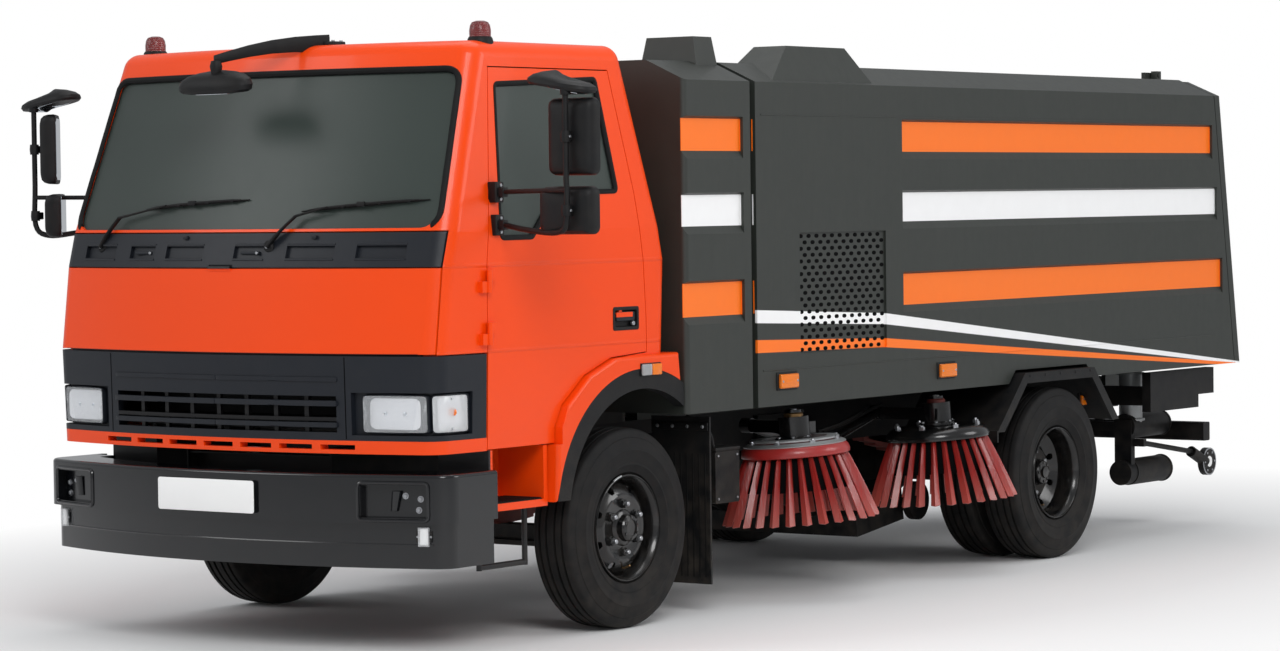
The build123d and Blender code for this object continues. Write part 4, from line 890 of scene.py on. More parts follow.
class Skin:
    """The outside of some CAD nodes, for putting pieces on it."""

    def __init__(self, *nodes: str) -> None:
        """Gather the nodes' meshes, with Y from the front axle."""
        verts: list[Vector] = []
        faces: list[list[int]] = []
        for name in nodes:
            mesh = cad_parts[name].data
            base = len(verts)
            verts += [v.co - Vector((0, AXLE_Y, 0)) for v in mesh.vertices]
            faces += [[base + i for i in p.vertices] for p in mesh.polygons]
        self.tree = BVHTree.FromPolygons(verts, faces)

    def onto(self, point: Point, way: Point) -> tuple[Vector, Vector]:
        """First place on the skin from a point along a direction, and the normal that faces back.

        Args:
            point: Where the ray starts.
            way: Its direction.
        Returns:
            The place and the normal.
        """
        ray = Vector(way).normalized()
        hit, normal, _, _ = self.tree.ray_cast(Vector(point), ray)
        if hit is None:
            hit, normal, _, _ = self.tree.find_nearest(Vector(point) + ray * 1.0)
        return hit, (normal if normal.dot(ray) < 0 else -normal)

    def front(self, x: float, z: float) -> tuple[Vector, Vector]:
        """Place and normal seen from ahead of the truck."""
        return self.onto((x, -FAR, z), BACK)

    def left(self, y: float, z: float) -> tuple[Vector, Vector]:
        """Place and normal seen from the truck's left."""
        return self.onto((FAR, y, z), (-1, 0, 0))


# ------------------------------------------------------------------------------------------- wheels
def both_ways(half: Pairs, *middle: tuple[float, float]) -> list[tuple[float, float]]:
    """Profile that runs on through its mirror image beyond the middle."""
    return [*half, *middle, *((radius, -along) for radius, along in reversed(half))]


@dataclass
class RoadWheel:
    """Ribbed truck tyre on a dished steel wheel, drawn round the Z axis with +Z outwards."""

    tyre_r: float = 0.4245
    half_w: float = 0.116
    seat_r: float = 0.215
    flange_r: float = 0.2285
    half_rim: float = 0.09
    thick: float = 0.010      # of the disc
    bolt_r: float = 0.102
    nuts: int = 6
    holes: int = 8
    sidewall: Pairs = ((0.262, 0.104), (0.268, 0.1085), (0.272, 0.1085), (0.276, 0.107), (0.300, 0.1145),
                       (0.322, 0.1158), (0.326, 0.118), (0.331, 0.118), (0.335, 0.1152), (0.356, 0.112),
                       (0.374, 0.106), (0.380, 0.1055), (0.384, 0.1015), (0.4, 0.0985), (0.409, 0.0955))
    widest: float = 0.118     # of the sidewall's table
    grooves: tuple[float, ...] = (0.058, 0.022)

    def tyre(self) -> Form:
        """Tyre with a stepped sidewall and ribs round its tread."""
        r = self.tyre_r
        half = [(self.seat_r - 0.004, 0.072), (self.flange_r + 0.004, 0.078), (self.flange_r + 0.008, 0.090),
                *self.sidewall, (r - 0.0085, 0.0915), (r - 0.0045, 0.085)]
        for at in self.grooves:
            crown = r - 0.004 * (at / 0.09) ** 2
            half += [(crown, at + 0.0065), (crown - 0.011, at + 0.0045), (crown - 0.011, at - 0.0045),
                     (crown, at - 0.0065)]
        profile = [(radius, along * self.half_w / self.widest) for radius, along in both_ways(half)]
        return Form(Paint.TYRE).lathe(profile, steps=96, closed=True)

    def rim(self, face: float, bowl: float) -> Form:
        """Rim, disc with hand holes, nuts and studs.

        Args:
            face: Where the bolt face stands along the axle.
            bowl: Where the disc leaves the rim.
        Returns:
            The form.
        """
        h, seat, flange = self.half_rim, self.seat_r, self.flange_r
        lip = [(seat + 0.001, h - 0.016), (flange - 0.002, h - 0.014), (flange + 0.0005, h - 0.007),
               (flange - 0.003, h), (flange - 0.009, h - 0.001), (seat - 0.006, h - 0.012), (seat - 0.012, h - 0.030)]
        bead = [(flange - 0.0105, h - 0.004), (flange - 0.008, h + 0.002), (flange - 0.005, h + 0.001),
                (flange - 0.006, h - 0.004)]
        form = Form(Paint.STEEL_BLACK).lathe(both_ways(lip, (seat - 0.017, 0.0)), steps=72, closed=True)
        form.lathe(bead, steps=72, closed=True).join(self._disc(face, bowl))
        nut = Form(Paint.STEEL_BLACK).hexagon(ORIGIN, UP, 0.032, 0.018)
        nut.disc(0.021, 0.0, 0.004, (0, 0, -0.001), steps=20)
        nut.use(Paint.STEEL).lathe([(0.0, 0.016), (0.0105, 0.016), (0.0105, 0.030), (0.008, 0.033), (0.0, 0.033)],
                                   steps=12)
        nuts = RING.lay(nut, self.nuts, Radius=self.bolt_r)
        return form.join(nuts, Matrix.Translation((0, 0, face + 0.0005)))

    def _disc(self, face: float, bowl: float) -> Form:
        """Pressed disc with hand holes."""
        form = Form(Paint.STEEL_BLACK)
        rise = face - bowl
        profile = [(0.055, face), (0.128, face), (0.139, face + 0.003), (0.150, face), (0.170, face - rise * 0.35),
                   (0.188, bowl + rise * 0.25), (0.199, bowl), (0.203, bowl - 0.012)]
        per, ring_at = 8, 4       # points between holes, and the profile point in the middle of a hole
        steps = self.holes * per
        rings = [[Vector((radius * math.cos(a), radius * math.sin(a), along)) for a in turns(steps)]
                 for radius, along in profile]
        layers = []
        for drop, order in ((0.0, 1), (self.thick, -1)):
            verts = [form.points(p - Vector((0, 0, drop)) for p in ring) for ring in rings]
            layers.append(verts)
            for r in range(len(rings) - 1):
                for k in range(steps):
                    if r in (ring_at - 1, ring_at) and k % per in (3, 4):
                        continue
                    n = (k + 1) % steps
                    form.face((verts[r][k], verts[r][n], verts[r + 1][n], verts[r + 1][k])[::order])
        upper, lower = layers
        for r in (0, len(rings) - 1):
            form.band(upper[r], lower[r])
        around = ((-1, 3), (-1, 4), (-1, 5), (0, 5), (1, 5), (1, 4), (1, 3), (0, 3))
        for first in range(0, steps, per):
            loop = [(ring_at + row, (first + k) % steps) for row, k in around]
            middle = sum((upper[r][k].co for r, k in loop), Vector()) / len(loop)
            for layer in (upper, lower):
                for j, (r, k) in enumerate(loop):
                    arm = layer[r][k].co - middle
                    layer[r][k].co = middle + arm.normalized() * (0.0175 if j % 2 else 0.0195)
                middle = middle - Vector((0, 0, self.thick))
            form.band([upper[r][k] for r, k in loop], [lower[r][k] for r, k in loop])
        return form


@dataclass
class RunningGear:
    """The truck's wheels, hubs and axle ends."""

    wheel: RoadWheel = field(default_factory=RoadWheel)
    front_x: float = 0.956
    twin_x: float = 1.03
    spacing: float = 0.262
    base: float = 3.5
    hub_z: float = 0.425
    cap_r: float = 0.046
    hub: Pairs = ((0.0, 0.03), (0.078, 0.03), (0.078, 0.066), (0.070, 0.073), (0.058, 0.076), (0.056, 0.100),
                  (0.050, 0.108), (0.036, 0.112), (0.034, 0.106), (0.0, 0.105))
    brake: Pairs = ((0.0, -0.04), (0.12, -0.04), (0.15, -0.02), (0.15, 0.02), (0.06, 0.04), (0.0, 0.04))
    twin_hub: Pairs = ((0.0, -0.1), (0.085, -0.1), (0.085, -0.046), (0.068, -0.036), (0.062, 0.004), (0.055, 0.016),
                       (0.030, 0.020), (0.028, 0.030), (0.0, 0.032))
    drum: Pairs = ((0.0, -0.41), (0.165, -0.41), (0.175, -0.40), (0.175, -0.24), (0.165, -0.22), (0.12, -0.2),
                   (0.12, -0.03), (0.0, -0.03))

    def build(self) -> None:
        """Make the wheels on both sides."""
        tyre = self.wheel.tyre()
        cap = Form(Paint.STEEL_BLACK).hexagon(ORIGIN, UP, 0.012, 0.006)
        front = Form(Paint.TYRE).join(tyre).join(self.wheel.rim(0.064, 0.026))
        front.use(Paint.STEEL_BLACK).lathe(self.hub, steps=36)
        front.join(RING.lay(cap, 6, Radius=self.cap_r), Matrix.Translation((0, 0, 0.107)))
        front.use(Paint.CAST).lathe(self.brake, steps=36)
        self._valve(front, 0.172, 0.060, 0.03)
        weight = [(0.2265 * math.cos(a), 0.2265 * math.sin(a), 0.0925) for a in (3.35 + 0.05 * k for k in range(6))]
        front.use(Paint.ZINC).tube(weight, 0.0045, 8)
        inner = Form(Paint.TYRE).join(tyre).join(self.wheel.rim(-0.052, -0.016))
        outer = Form(Paint.TYRE).join(inner)
        self._valve(outer, 0.176, -0.040, 0.05)
        hub = Form(Paint.STEEL_BLACK).lathe(self.twin_hub, steps=40)
        hub.join(RING.lay(cap, 8, Radius=self.cap_r), Matrix.Translation((0, 0, 0.0155)))
        drum = Form(Paint.CAST).lathe(self.drum, steps=40)
        for side, hand in SIDES:
            out = (side, 0, 0)
            whole = Form(Paint.TYRE).join(front, upright((side * self.front_x, 0, self.hub_z), out))
            whole.finish(f"front_road_wheel_{hand}", f"front_wheel_{hand}", [f"front_wheel_{hand}"])
            place = upright((side * self.twin_x, self.base, self.hub_z), out)
            inside = upright((side * (self.twin_x - self.spacing), self.base, self.hub_z), (-side, 0, 0))
            twin = Form(Paint.TYRE).join(outer, place).join(inner, inside).join(hub, place).join(drum, place)
            twin.finish(f"twin_road_wheels_{hand}", f"rear_wheels_{hand}", [f"rear_wheels_{hand}"])

    @staticmethod
    def _valve(form: Form, radius: float, z: float, rise: float) -> None:
        """Tyre valve beside the rim."""
        path = [(radius, 0.012, z - 0.02), (radius, 0.012, z), (radius - 0.012, 0.010, z + rise)]
        form.use(Paint.BRASS).tube(path, 0.004, 8)


# ------------------------------------------------------------------------------------------- cab outside
SHELL_SKIN = Skin("cab_shell", "door_left", "door_right", "front_lid", "cowl_panel", "grille_panel", "cab_glass",
                  "door_glass_left", "door_glass_right")
# The cab's front quarter at three heights: height, half width, corner across and along, foremost point.
CAB_PLAN = ((0.810, 1.048, 1.035, -1.245, -1.392), (1.200, 1.058, 1.042, -1.255, -1.400),
            (1.555, 1.060, 1.044, -1.205, -1.362))
CORNER_R = 0.095
ARC_STEPS, TURN_STEPS, SIDE_STEPS = 60, 14, 40      # pieces across, round the corner and along the side
SPINE_STEPS = 10                                    # pieces in the strip that fills a curved plate


def plan_line(z: float, inset: float) -> list[Vector]:
    """The cab's left front quarter at one height, from the middle to the side.

    Args:
        z: Height.
        inset: Distance inside the skin.
    Returns:
        Flat points, close together.
    """
    low, high = CAB_PLAN[:2] if z < CAB_PLAN[1][0] else CAB_PLAN[1:]
    part = (z - low[0]) / (high[0] - low[0])
    half, cx, cy, fy = (a + (b - a) * part for a, b in zip(low[1:], high[1:]))
    half, cx, cy, fy = half - inset, cx - inset, cy + inset, fy + inset
    radius = (cx ** 2 + (cy - fy) ** 2) / (2 * (cy - fy))
    across = (cx * k / ARC_STEPS for k in range(ARC_STEPS + 1))
    arc = [Vector((x, fy + radius - math.sqrt(radius ** 2 - x ** 2))) for x in across]
    corner, side = arc[-1], Vector((half, cy + 0.265))
    back, ahead = (arc[-8] - corner).normalized(), (side - corner).normalized()
    reach = (CORNER_R - inset) / math.tan(back.angle(ahead) / 2)
    start, end = corner + back * reach, corner + ahead * reach
    line = [p for p in arc if p.x < start.x - 0.004] + bend(start, corner, end, TURN_STEPS)
    flank = [end.lerp(side, k / SIDE_STEPS) for k in range(1, SIDE_STEPS + 1)]
    return line + flank + [Vector((half, side.y + 0.3))]


def on_plan(spot: Vector, inset: float) -> Vector:
    """A flat point, its x along the plan line and its y upwards, laid on the cab's front quarter."""
    line, along = plan_line(spot.y, inset), spot.x
    for a, b in zip(line, line[1:]):
        step = (b - a).length
        if along <= step:
            return a.lerp(b, along / step).to_3d() + Vector((0, 0, spot.y))
        along -= step
    return line[-1].to_3d() + Vector((0, 0, spot.y))


def curved_plate(form: Form, low: Sequence[float], high: Sequence[float], outer: float, inner: float,
                 radius: float) -> Form:
    """Plate that follows the cab's front corner, with rounded corners.

    Args:
        form: The form to add to.
        low, high: Its lowest and highest corner, along the plan line and upwards.
        outer, inner: Insets of its two faces.
        radius: Radius of its corners.
    Returns:
        The form.
    """
    flat = oblong(low, high, radius, 5, (high[0] - low[0]) / 14)
    ease = min(0.004, (inner - outer) / 3)
    middle = Vector(((low[0] + high[0]) / 2, (low[1] + high[1]) / 2))
    made = []
    for inset, shrink in ((inner, 0.0), (outer + ease, 0.0), (outer + ease * 0.3, ease * 0.35), (outer, ease)):
        made.append(form.points(on_plan(p + (middle - p).normalized() * shrink, inset) for p in flat))
    for a, b in zip(made, made[1:]):
        form.band(a, b)
    for ring, inset in ((made[0], inner), (made[-1], outer)):
        fill_plate(form, list(zip(flat, ring)), inset, low, high)
    return form


def fill_plate(form: Form, edge: list, inset: float, low: Sequence[float], high: Sequence[float]) -> None:
    """Close one face of a curved plate with an inner strip of points, so that it follows the curve.

    Args:
        form: The form to add to.
        edge: The face's flat points, each with its vertex.
        inset: How far the face is inside the skin.
        low, high: The plate's lowest and highest corner.
    """
    height = (low[1] + high[1]) / 2
    edge.sort(key=lambda item: item[0].x)
    lower = [item for item in edge if item[0].y < height]
    upper = [item for item in edge if item[0].y >= height]
    spine = []
    for k in range(SPINE_STEPS + 1):
        spot = Vector((low[0] + (high[0] - low[0]) * (0.06 + 0.88 * k / SPINE_STEPS), height))
        spine.append((spot, form.bm.verts.new(on_plan(spot, inset))))
    for side in (lower, upper):
        i = j = 0
        while i < len(side) - 1 or j < len(spine) - 1:
            spent = j >= len(spine) - 1
            outside = spent or (i < len(side) - 1 and side[i + 1][0].x <= spine[j + 1][0].x)
            form.face((side[i][1], side[i + 1][1] if outside else spine[j + 1][1], spine[j][1]))
            i, j = i + outside, j + (not outside)
    form.face((lower[0][1], spine[0][1], upper[0][1]))
    form.face((lower[-1][1], spine[-1][1], upper[-1][1]))


@dataclass
class CabSeals:
    """Rubber round the windscreen, door windows and rear window."""

    screen: Pairs = ((-0.995, 1.708), (0.995, 1.708), (0.937, 2.345), (-0.937, 2.345))
    window: Pairs = ((-0.800, 2.284), (-0.126, 2.315), (-0.040, 1.845), (-0.460, 1.839), (-0.645, 1.662),
                     (-0.849, 1.661))
    rear: Pairs = ((-0.430, 1.760), (0.430, 1.760), (0.430, 2.180), (-0.430, 2.180))
    wide: Pairs = ((0.012, -0.002), (0.0115, 0.003), (0.007, 0.0055), (-0.002, 0.005), (-0.010, -0.001),
                   (-0.013, -0.010), (0.0, -0.014))
    slim: Pairs = ((0.010, -0.002), (0.0095, 0.0025), (0.005, 0.004), (-0.003, 0.003), (-0.010, -0.003),
                   (-0.012, -0.011), (0.0, -0.014))
    reach: float = 0.017      # from an opening's edge to where the skin is felt

    def build(self) -> None:
        """Make the seals."""
        shell = Skin("cab_shell")
        front = Form(Paint.RUBBER)
        self._round(front, self.screen, 0.070, self.wide, shell, lambda p: ((p.x, -FAR, p.y), BACK))
        self._round(front, self.rear, 0.070, self.wide, shell, lambda p: ((p.x, FAR, p.y), AHEAD))
        front.finish("screen_seals", "truck")
        for side, hand in SIDES:
            seal, door = Form(Paint.RUBBER), Skin(f"door_{hand}")
            self._round(seal, self.window, 0.022, self.slim, door, lambda p: ((FAR * side, p.x, p.y), (-side, 0, 0)))
            seal.finish(f"window_seal_{hand}", f"door_{hand}")

    def _round(self, form: Form, outline: Pairs, radius: float, section: Pairs, skin: Skin, ray: Callable) -> None:
        """Sweep a section round an opening, on the skin beside it."""
        flat = rounded(outline, radius, 8, 0.05)
        outer = []
        for k, p in enumerate(flat):
            along = (flat[(k + 1) % len(flat)] - flat[k - 1]).normalized()
            out = Vector((along.y, -along.x))
            outer.append(p + (-out if self._inside(flat, p + out * 0.004) else out) * self.reach)
        spots = [skin.onto(*ray(p)) for p in outer]
        rings = []
        for k, (place, normal) in enumerate(spots):
            way = (spots[(k + 1) % len(flat)][0] - spots[k - 1][0]).normalized()
            normal = (normal - way * normal.dot(way)).normalized()
            out = way.cross(normal).normalized()
            if out.dot(Vector(ray(outer[k])[0]) - Vector(ray(flat[k])[0])) < 0:
                out = -out
            base = place - out * self.reach
            rings.append([base + out * o + normal * n for o, n in section])
        form.loft(rings, closed=True)

    @staticmethod
    def _inside(loop: Sequence[Vector], p: Vector) -> bool:
        """Whether a flat point lies inside a closed loop."""
        inside = False
        for a, b in zip(loop, [*loop[1:], loop[0]]):
            if (a.y > p.y) != (b.y > p.y) and p.x < (b.x - a.x) * (p.y - a.y) / (b.y - a.y) + a.x:
                inside = not inside
        return inside


@dataclass
class FrontLamps:
    """Headlamps, indicators, beacons and side repeaters."""

    head: tuple[float, float] = (0.724, 1.003)
    turn: tuple[float, float] = (1.028, 1.212)
    z0: float = 0.898
    z1: float = 1.043
    mid_z: float = 0.971
    lens: tuple[float, float] = (0.0015, 0.0055)      # insets of a lens's faces
    round_: float = 0.016
    rim: Pairs = ((0.0005, 0.023), (0.0005, 0.0045), (0.0025, 0.003), (0.0055, 0.0045), (0.0085, 0.012),
                  (0.010, 0.0235))
    bowl: Pairs = ((1.0, 0.006), (0.97, 0.001), (0.78, -0.002), (0.6, -0.0035), (0.3, -0.0045), (0.05, -0.0045))
    flare_x: float = 1.0885
    beacon: tuple[float, float, float] = (0.9, -0.77, 2.447)

    def build(self) -> None:
        """Make the lamps on both sides."""
        side = Form(Paint.LENS)
        for finish, (low, high) in ((Paint.LENS, self.head), (Paint.CLEAR, self.turn)):
            curved_plate(side.use(finish), (low, self.z0), (high, self.z1), *self.lens, self.round_)
        for low, high in (self.head, self.turn):
            self._bezel(side.use(Paint.PANEL), low, high)
        self._reflector(side, on_plan(Vector((sum(self.head) / 2 - 0.006, self.mid_z)), 0.0195), 0.118, 0.062)
        centre = sum(self.turn) / 2
        bulb = on_plan(Vector((centre, 0.975)), 0.012)
        out = (bulb - on_plan(Vector((centre, self.mid_z)), 0.020)).normalized()
        curved_plate(side.use(Paint.CHROME), (self.turn[0] + 0.006, self.z0 + 0.006),
                     (self.turn[1] - 0.006, self.z1 - 0.006), 0.0205, 0.0225, 0.014)
        side.use(Paint.BULB).lathe([(0, -0.004), (0.013, -0.003), (0.017, 0.003), (0.013, 0.008), (0, 0.0095)],
                                   bulb, out, 18)
        for z in (self.z0 + 0.012, self.z1 - 0.012):
            side.use(Paint.STEEL).lathe([(0, -0.001), (0.005, 0.0), (0.004, 0.0015), (0, 0.002)],
                                        on_plan(Vector((centre, z)), 0.0010), out, 10)
        form = side.both()
        x, y, z = self.beacon
        for hand, _ in SIDES:
            self._beacon(form, (hand * x, y, z))
        form.finish("lamp_set", "truck", ["cab_lamps"])
        self._repeaters()

    def _bezel(self, form: Form, low: float, high: float) -> None:
        """Raised rim round one lens."""
        middle = Vector(((low + high) / 2, (self.z0 + self.z1) / 2))
        rings = []
        for p in oblong((low, self.z0), (high, self.z1), self.round_, 5, 0.012):
            out = (p - middle).normalized()
            rings.append([on_plan(p + out * shift, inset) for shift, inset in self.rim])
        form.loft(rings, closed=True)

    def _reflector(self, form: Form, middle: Vector, wide: float, tall: float) -> None:
        """Shallow stepped bowl behind the headlamp lens, with two lamps in it."""
        way = Vector((0.135, -0.99, 0)).normalized()
        side = -way.cross(Vector(UP)).normalized()
        rings = []
        for share, depth in self.bowl:
            loop = oblong((-wide * share, -tall * share), (wide * share, tall * share), 0.03 * share, 5, 0.05)
            rings.append([middle + side * p.x + Vector(UP) * p.y + way * depth for p in loop])
        count = min(len(r) for r in rings)
        form.use(Paint.CHROME).loft([[ring[int(k * len(ring) / count)] for k in range(count)] for ring in rings])
        cup = ((0.030, -0.003), (0.026, 0.001), (0.012, -0.001), (0.0, -0.001))
        bulb = ((0, -0.003), (0.011, -0.002), (0.010, 0.005), (0.006, 0.008), (0, 0.009))
        for x in (-0.045, 0.045):
            form.use(Paint.CHROME).lathe(cup, middle + side * x, way, 24)
            form.use(Paint.MIRROR).lathe(bulb, middle + side * x, way, 16)

    @staticmethod
    def _beacon(form: Form, place: Point) -> None:
        """Round beacon on the roof."""
        base = ((0.0, -0.004), (0.054, -0.004), (0.054, 0.010), (0.051, 0.022), (0.046, 0.030), (0.0, 0.030))
        dome = ((0.0, 0.030), (0.044, 0.030), (0.0445, 0.055), (0.041, 0.076), (0.033, 0.089), (0.018, 0.0945),
                (0.0, 0.0955))
        for finish, profile in ((Paint.PLASTIC, base), (Paint.RED, dome)):
            form.use(finish).lathe(profile, place, UP, 32)

    def _repeaters(self) -> None:
        """Amber and white repeaters on the wheel arch flares."""
        x = self.flare_x
        form = Form(Paint.PLASTIC).block((x - 0.003, 0.045, 1.062), (x + 0.004, 0.190, 1.118), 0.003)
        form.use(Paint.AMBER).block((x + 0.002, 0.118, 1.066), (x + 0.014, 0.186, 1.114), 0.005)
        form.use(Paint.CLEAR).block((x + 0.002, 0.049, 1.066), (x + 0.012, 0.117, 1.114), 0.005)
        form.both().finish("side_repeaters", "truck")


@dataclass
class FrontDetails:
    """Wipers, front mirror, number plate blank, bumper fittings, grille bars and cowl mouldings."""

    wipers: tuple = ((-0.78, (-0.52, 1.792), (0.08, 1.826)), (0.24, (0.36, 1.776), (0.93, 1.818)))
    plate: tuple = ((-0.262, 0.566), (0.262, 0.698))
    pocket: tuple = ((0.738, 0.560), (1.012, 0.694))

    def build(self) -> None:
        """Make the pieces on the cab's front."""
        form = Form(Paint.PLASTIC)
        for x, start, end in self.wipers:
            self._wiper(form, x, Vector(start), Vector(end))
        form.finish("screen_wipers", "truck", ["wipers"])
        self._mirror()
        self._bumper_pieces()
        self._grille()
        self._cowl()

    @staticmethod
    def _wiper(form: Form, x: float, start: Vector, end: Vector) -> None:
        """Wiper arm and blade, lying along the screen.

        Args:
            form: The form to add to.
            x: Where the arm's spindle is.
            start, end: The blade's ends, across and upwards.
        """
        skin = SHELL_SKIN
        pivot = skin.front(x, 1.637)[0]
        form.use(Paint.PLASTIC).lathe([(0, -0.02), (0.026, -0.02), (0.026, 0.004), (0.018, 0.010), (0, 0.010)],
                                      pivot, AHEAD, 24)
        form.use(Paint.STEEL).hexagon(pivot + Vector((0, -0.010, 0)), AHEAD, 0.014, 0.010)
        elbow = skin.front(*start.lerp(end, 0.25))[0] + Vector((0, -0.034, 0.008))
        knee = skin.front(x + 0.12, 1.760)[0] + Vector((0, -0.036, 0))
        rise = [pivot + Vector((0, -0.012, 0)), pivot.lerp(knee, 0.5) + Vector((0, -0.016, 0)), knee]
        form.use(Paint.PLASTIC).tube(smooth_path(rise, 4), [0.015] * 4 + [0.011] * 5, 10, 0.55)
        form.tube([knee, knee.lerp(elbow, 0.5), elbow], [0.0095, 0.0075, 0.006], 8, 0.6)
        rubber, bridge = [], []
        for t in (k / 14 for k in range(15)):
            face, normal = skin.front(*start.lerp(end, t))
            rubber.append(face + normal * 0.006)
            bridge.append(face + normal * (0.010 + 0.014 * math.sin(math.pi * t)))
        form.use(Paint.RUBBER).tube(rubber, [0.003] + [0.0055] * 13 + [0.003], 6, 0.8)
        form.use(Paint.PLASTIC).tube(bridge[1:14], [0.004] + [0.007] * 11 + [0.004], 8, 0.7)
        for k in (2, 5, 9, 12):
            form.block(bridge[k] - Vector((0.009, 0.006, 0.008)), rubber[k] + Vector((0.009, 0.002, 0.006)), 0.002)
        form.knob(bridge[7], (-0.020, -0.010, -0.010), (0.020, 0.006, 0.010), 0.004)

    @staticmethod
    def _mirror() -> None:
        """Wide-angle mirror over the screen on a flat arm from the roof."""
        outline = oval(36, 0.188, 0.058, (0.62, 0.8))
        shells = ((-0.046, 0.70, 0.0), (-0.044, 0.88, 0.0), (-0.034, 0.98, 0.0), (-0.014, 1.0, 0.0),
                  (0.008, 0.94, 0.002), (0.026, 0.78, 0.006), (0.038, 0.52, 0.010), (0.043, 0.2, 0.012))
        form = Form(Paint.PLASTIC)
        form.loft([[Vector((-0.01 + x * share, -1.360 + y * share + push, 2.310 + lift + 0.10 * y)) for x, y in outline]
                   for lift, share, push in shells])
        form.use(Paint.MIRROR)
        form.loft([[Vector((-0.01 + x * share, -1.360 + y * share, 2.2635 + lift + 0.10 * y)) for x, y in outline]
                   for share, lift in ((0.66, 0.002), (0.62, -0.001), (0.2, -0.003))])
        section = ((-0.5, -1), (0.5, -1), (1, -0.7), (1, 0.7), (0.5, 1), (-0.5, 1), (-1, 0.7), (-1, -0.7))
        root, tip = Vector((0.235, -0.935, 2.468)), Vector((-0.004, -1.372, 2.398))
        blade = []
        for t in (0.0, 0.12, 0.3, 0.5, 0.7, 0.88, 1.0):
            spot = root.lerp(tip, t) + Vector((0, 0, 0.020 * math.sin(math.pi * t)))
            across = Vector((0.88, -0.48, 0)) * (0.009 - 0.002 * t)
            tall = 0.037 - 0.018 * t
            blade.append([spot + across * out + Vector((0, 0, tall * up)) for out, up in section])
        form.use(Paint.PLASTIC).loft(blade)
        form.lathe([(0, -0.045), (0.018, -0.045), (0.022, -0.02), (0.026, 0.0), (0.020, 0.022), (0, 0.026)],
                   (0.0, -1.366, 2.372), steps=20)
        roof = SHELL_SKIN.onto((0.235, -0.93, 3.0), (0, 0, -1))[0].z
        form.block((0.185, -0.965, roof - 0.008), (0.285, -0.885, roof + 0.016), 0.006)
        form.bolts([(x, y, roof + 0.0155) for y in (-0.95, -0.90) for x in (0.200, 0.270)], UP, 0.012, 0.006)
        form.finish("screen_mirror", "truck", ["front_mirror"])

    def _bumper_pieces(self) -> None:
        """Plate blank, bolts in the pockets, marker lamps and a fold line on the bumper."""
        skin = Skin("front_bumper")
        face = skin.front(0.25, 0.6)[0].y - 0.018
        plate = Form(Paint.PLATE).plate(*self.plate, 0.012, lambda x, z: (x, face, z), (0, 0.003, 0), 0.001)
        plate.use(Paint.PLASTIC).block((-0.24, face + 0.003, 0.585), (0.24, face + 0.020, 0.680), 0.002)
        plate.finish("plate_blank", "truck")
        form = Form(Paint.STEEL)
        for x, z in ((0.905, 0.648), (0.965, 0.636), (0.958, 0.592)):
            spot, normal = skin.front(x, z)
            form.hexagon(spot + normal * 0.001, normal, 0.016, 0.008).disc(0.013, 0, 0.0015, spot, normal)
        spot = skin.front(0.865, 0.628)[0]
        hook = ((-0.02, -0.04), (0.012, -0.04), (0.030, 0.04), (-0.012, 0.04))
        form.use(Paint.BUMPER).slab([spot + Vector((dx, -0.001, dz)) for dx, dz in hook], (0, -0.010, 0), 0.003)
        spot, normal = skin.front(0.985, 0.488)
        side = Vector((-normal.y, normal.x, 0))
        marker = ((Paint.PLASTIC, 0.034, 0.022, 0.0, 0.004), (Paint.CLEAR, 0.022, 0.038, 0.0, 0.020),
                  (Paint.PLATE, 0.017, 0.032, 0.004, 0.008))
        for finish, wide, tall, lift, deep in marker:
            corners = ((-wide, -tall), (wide, -tall), (wide, tall), (-wide, tall))
            form.use(finish).slab([spot + normal * lift + side * out + Vector((0, 0, up)) for out, up in corners],
                                  normal * deep, 0.002)
        form.bolts([spot + side * out + normal * 0.004 for out in (-0.028, 0.028)], normal, 0.009, 0.004)
        self._pocket_frame(form, skin)
        form.both().finish("bumper_fittings", "truck")
        fold = [skin.front(-1.02 + 2.04 * k / 40, 0.455)[0] + Vector((0, 0.001, 0)) for k in range(41)]
        Form(Paint.BUMPER).tube(fold, 0.0045, 6).finish("bumper_swage", "truck")

    def _pocket_frame(self, form: Form, skin: Skin) -> None:
        """Rounded raised rim of a fog lamp pocket."""
        middle = Vector((0.875, 0.627))
        path = []
        for p in oblong(*self.pocket, 0.020, 5, 0.02):
            grow = Vector((math.copysign(0.008, p.x - middle.x), math.copysign(0.008, p.y - middle.y)))
            spot, normal = skin.front(*(p + grow))
            path.append(spot + normal * 0.001)
        form.use(Paint.BUMPER).tube(path + path[:2], 0.0075, 8)

    @staticmethod
    def _grille() -> None:
        """Proud bars across the grille, the ridge above it and the seams beside it."""
        form = Form(Paint.PANEL)
        for low, high, proud in ((0.915, 0.935, 0.012), (1.000, 1.022, 0.012), (1.098, 1.116, 0.005)):
            curved_plate(form, (0.0, low), (0.610, high), -proud, 0.012, 0.004)
        curved_plate(form.use(Paint.GAP_AND_SHADE), (0.643, 0.868), (0.647, 1.196), -0.0006, 0.003, 0.001)
        form.both().finish("grille_bars", "truck")

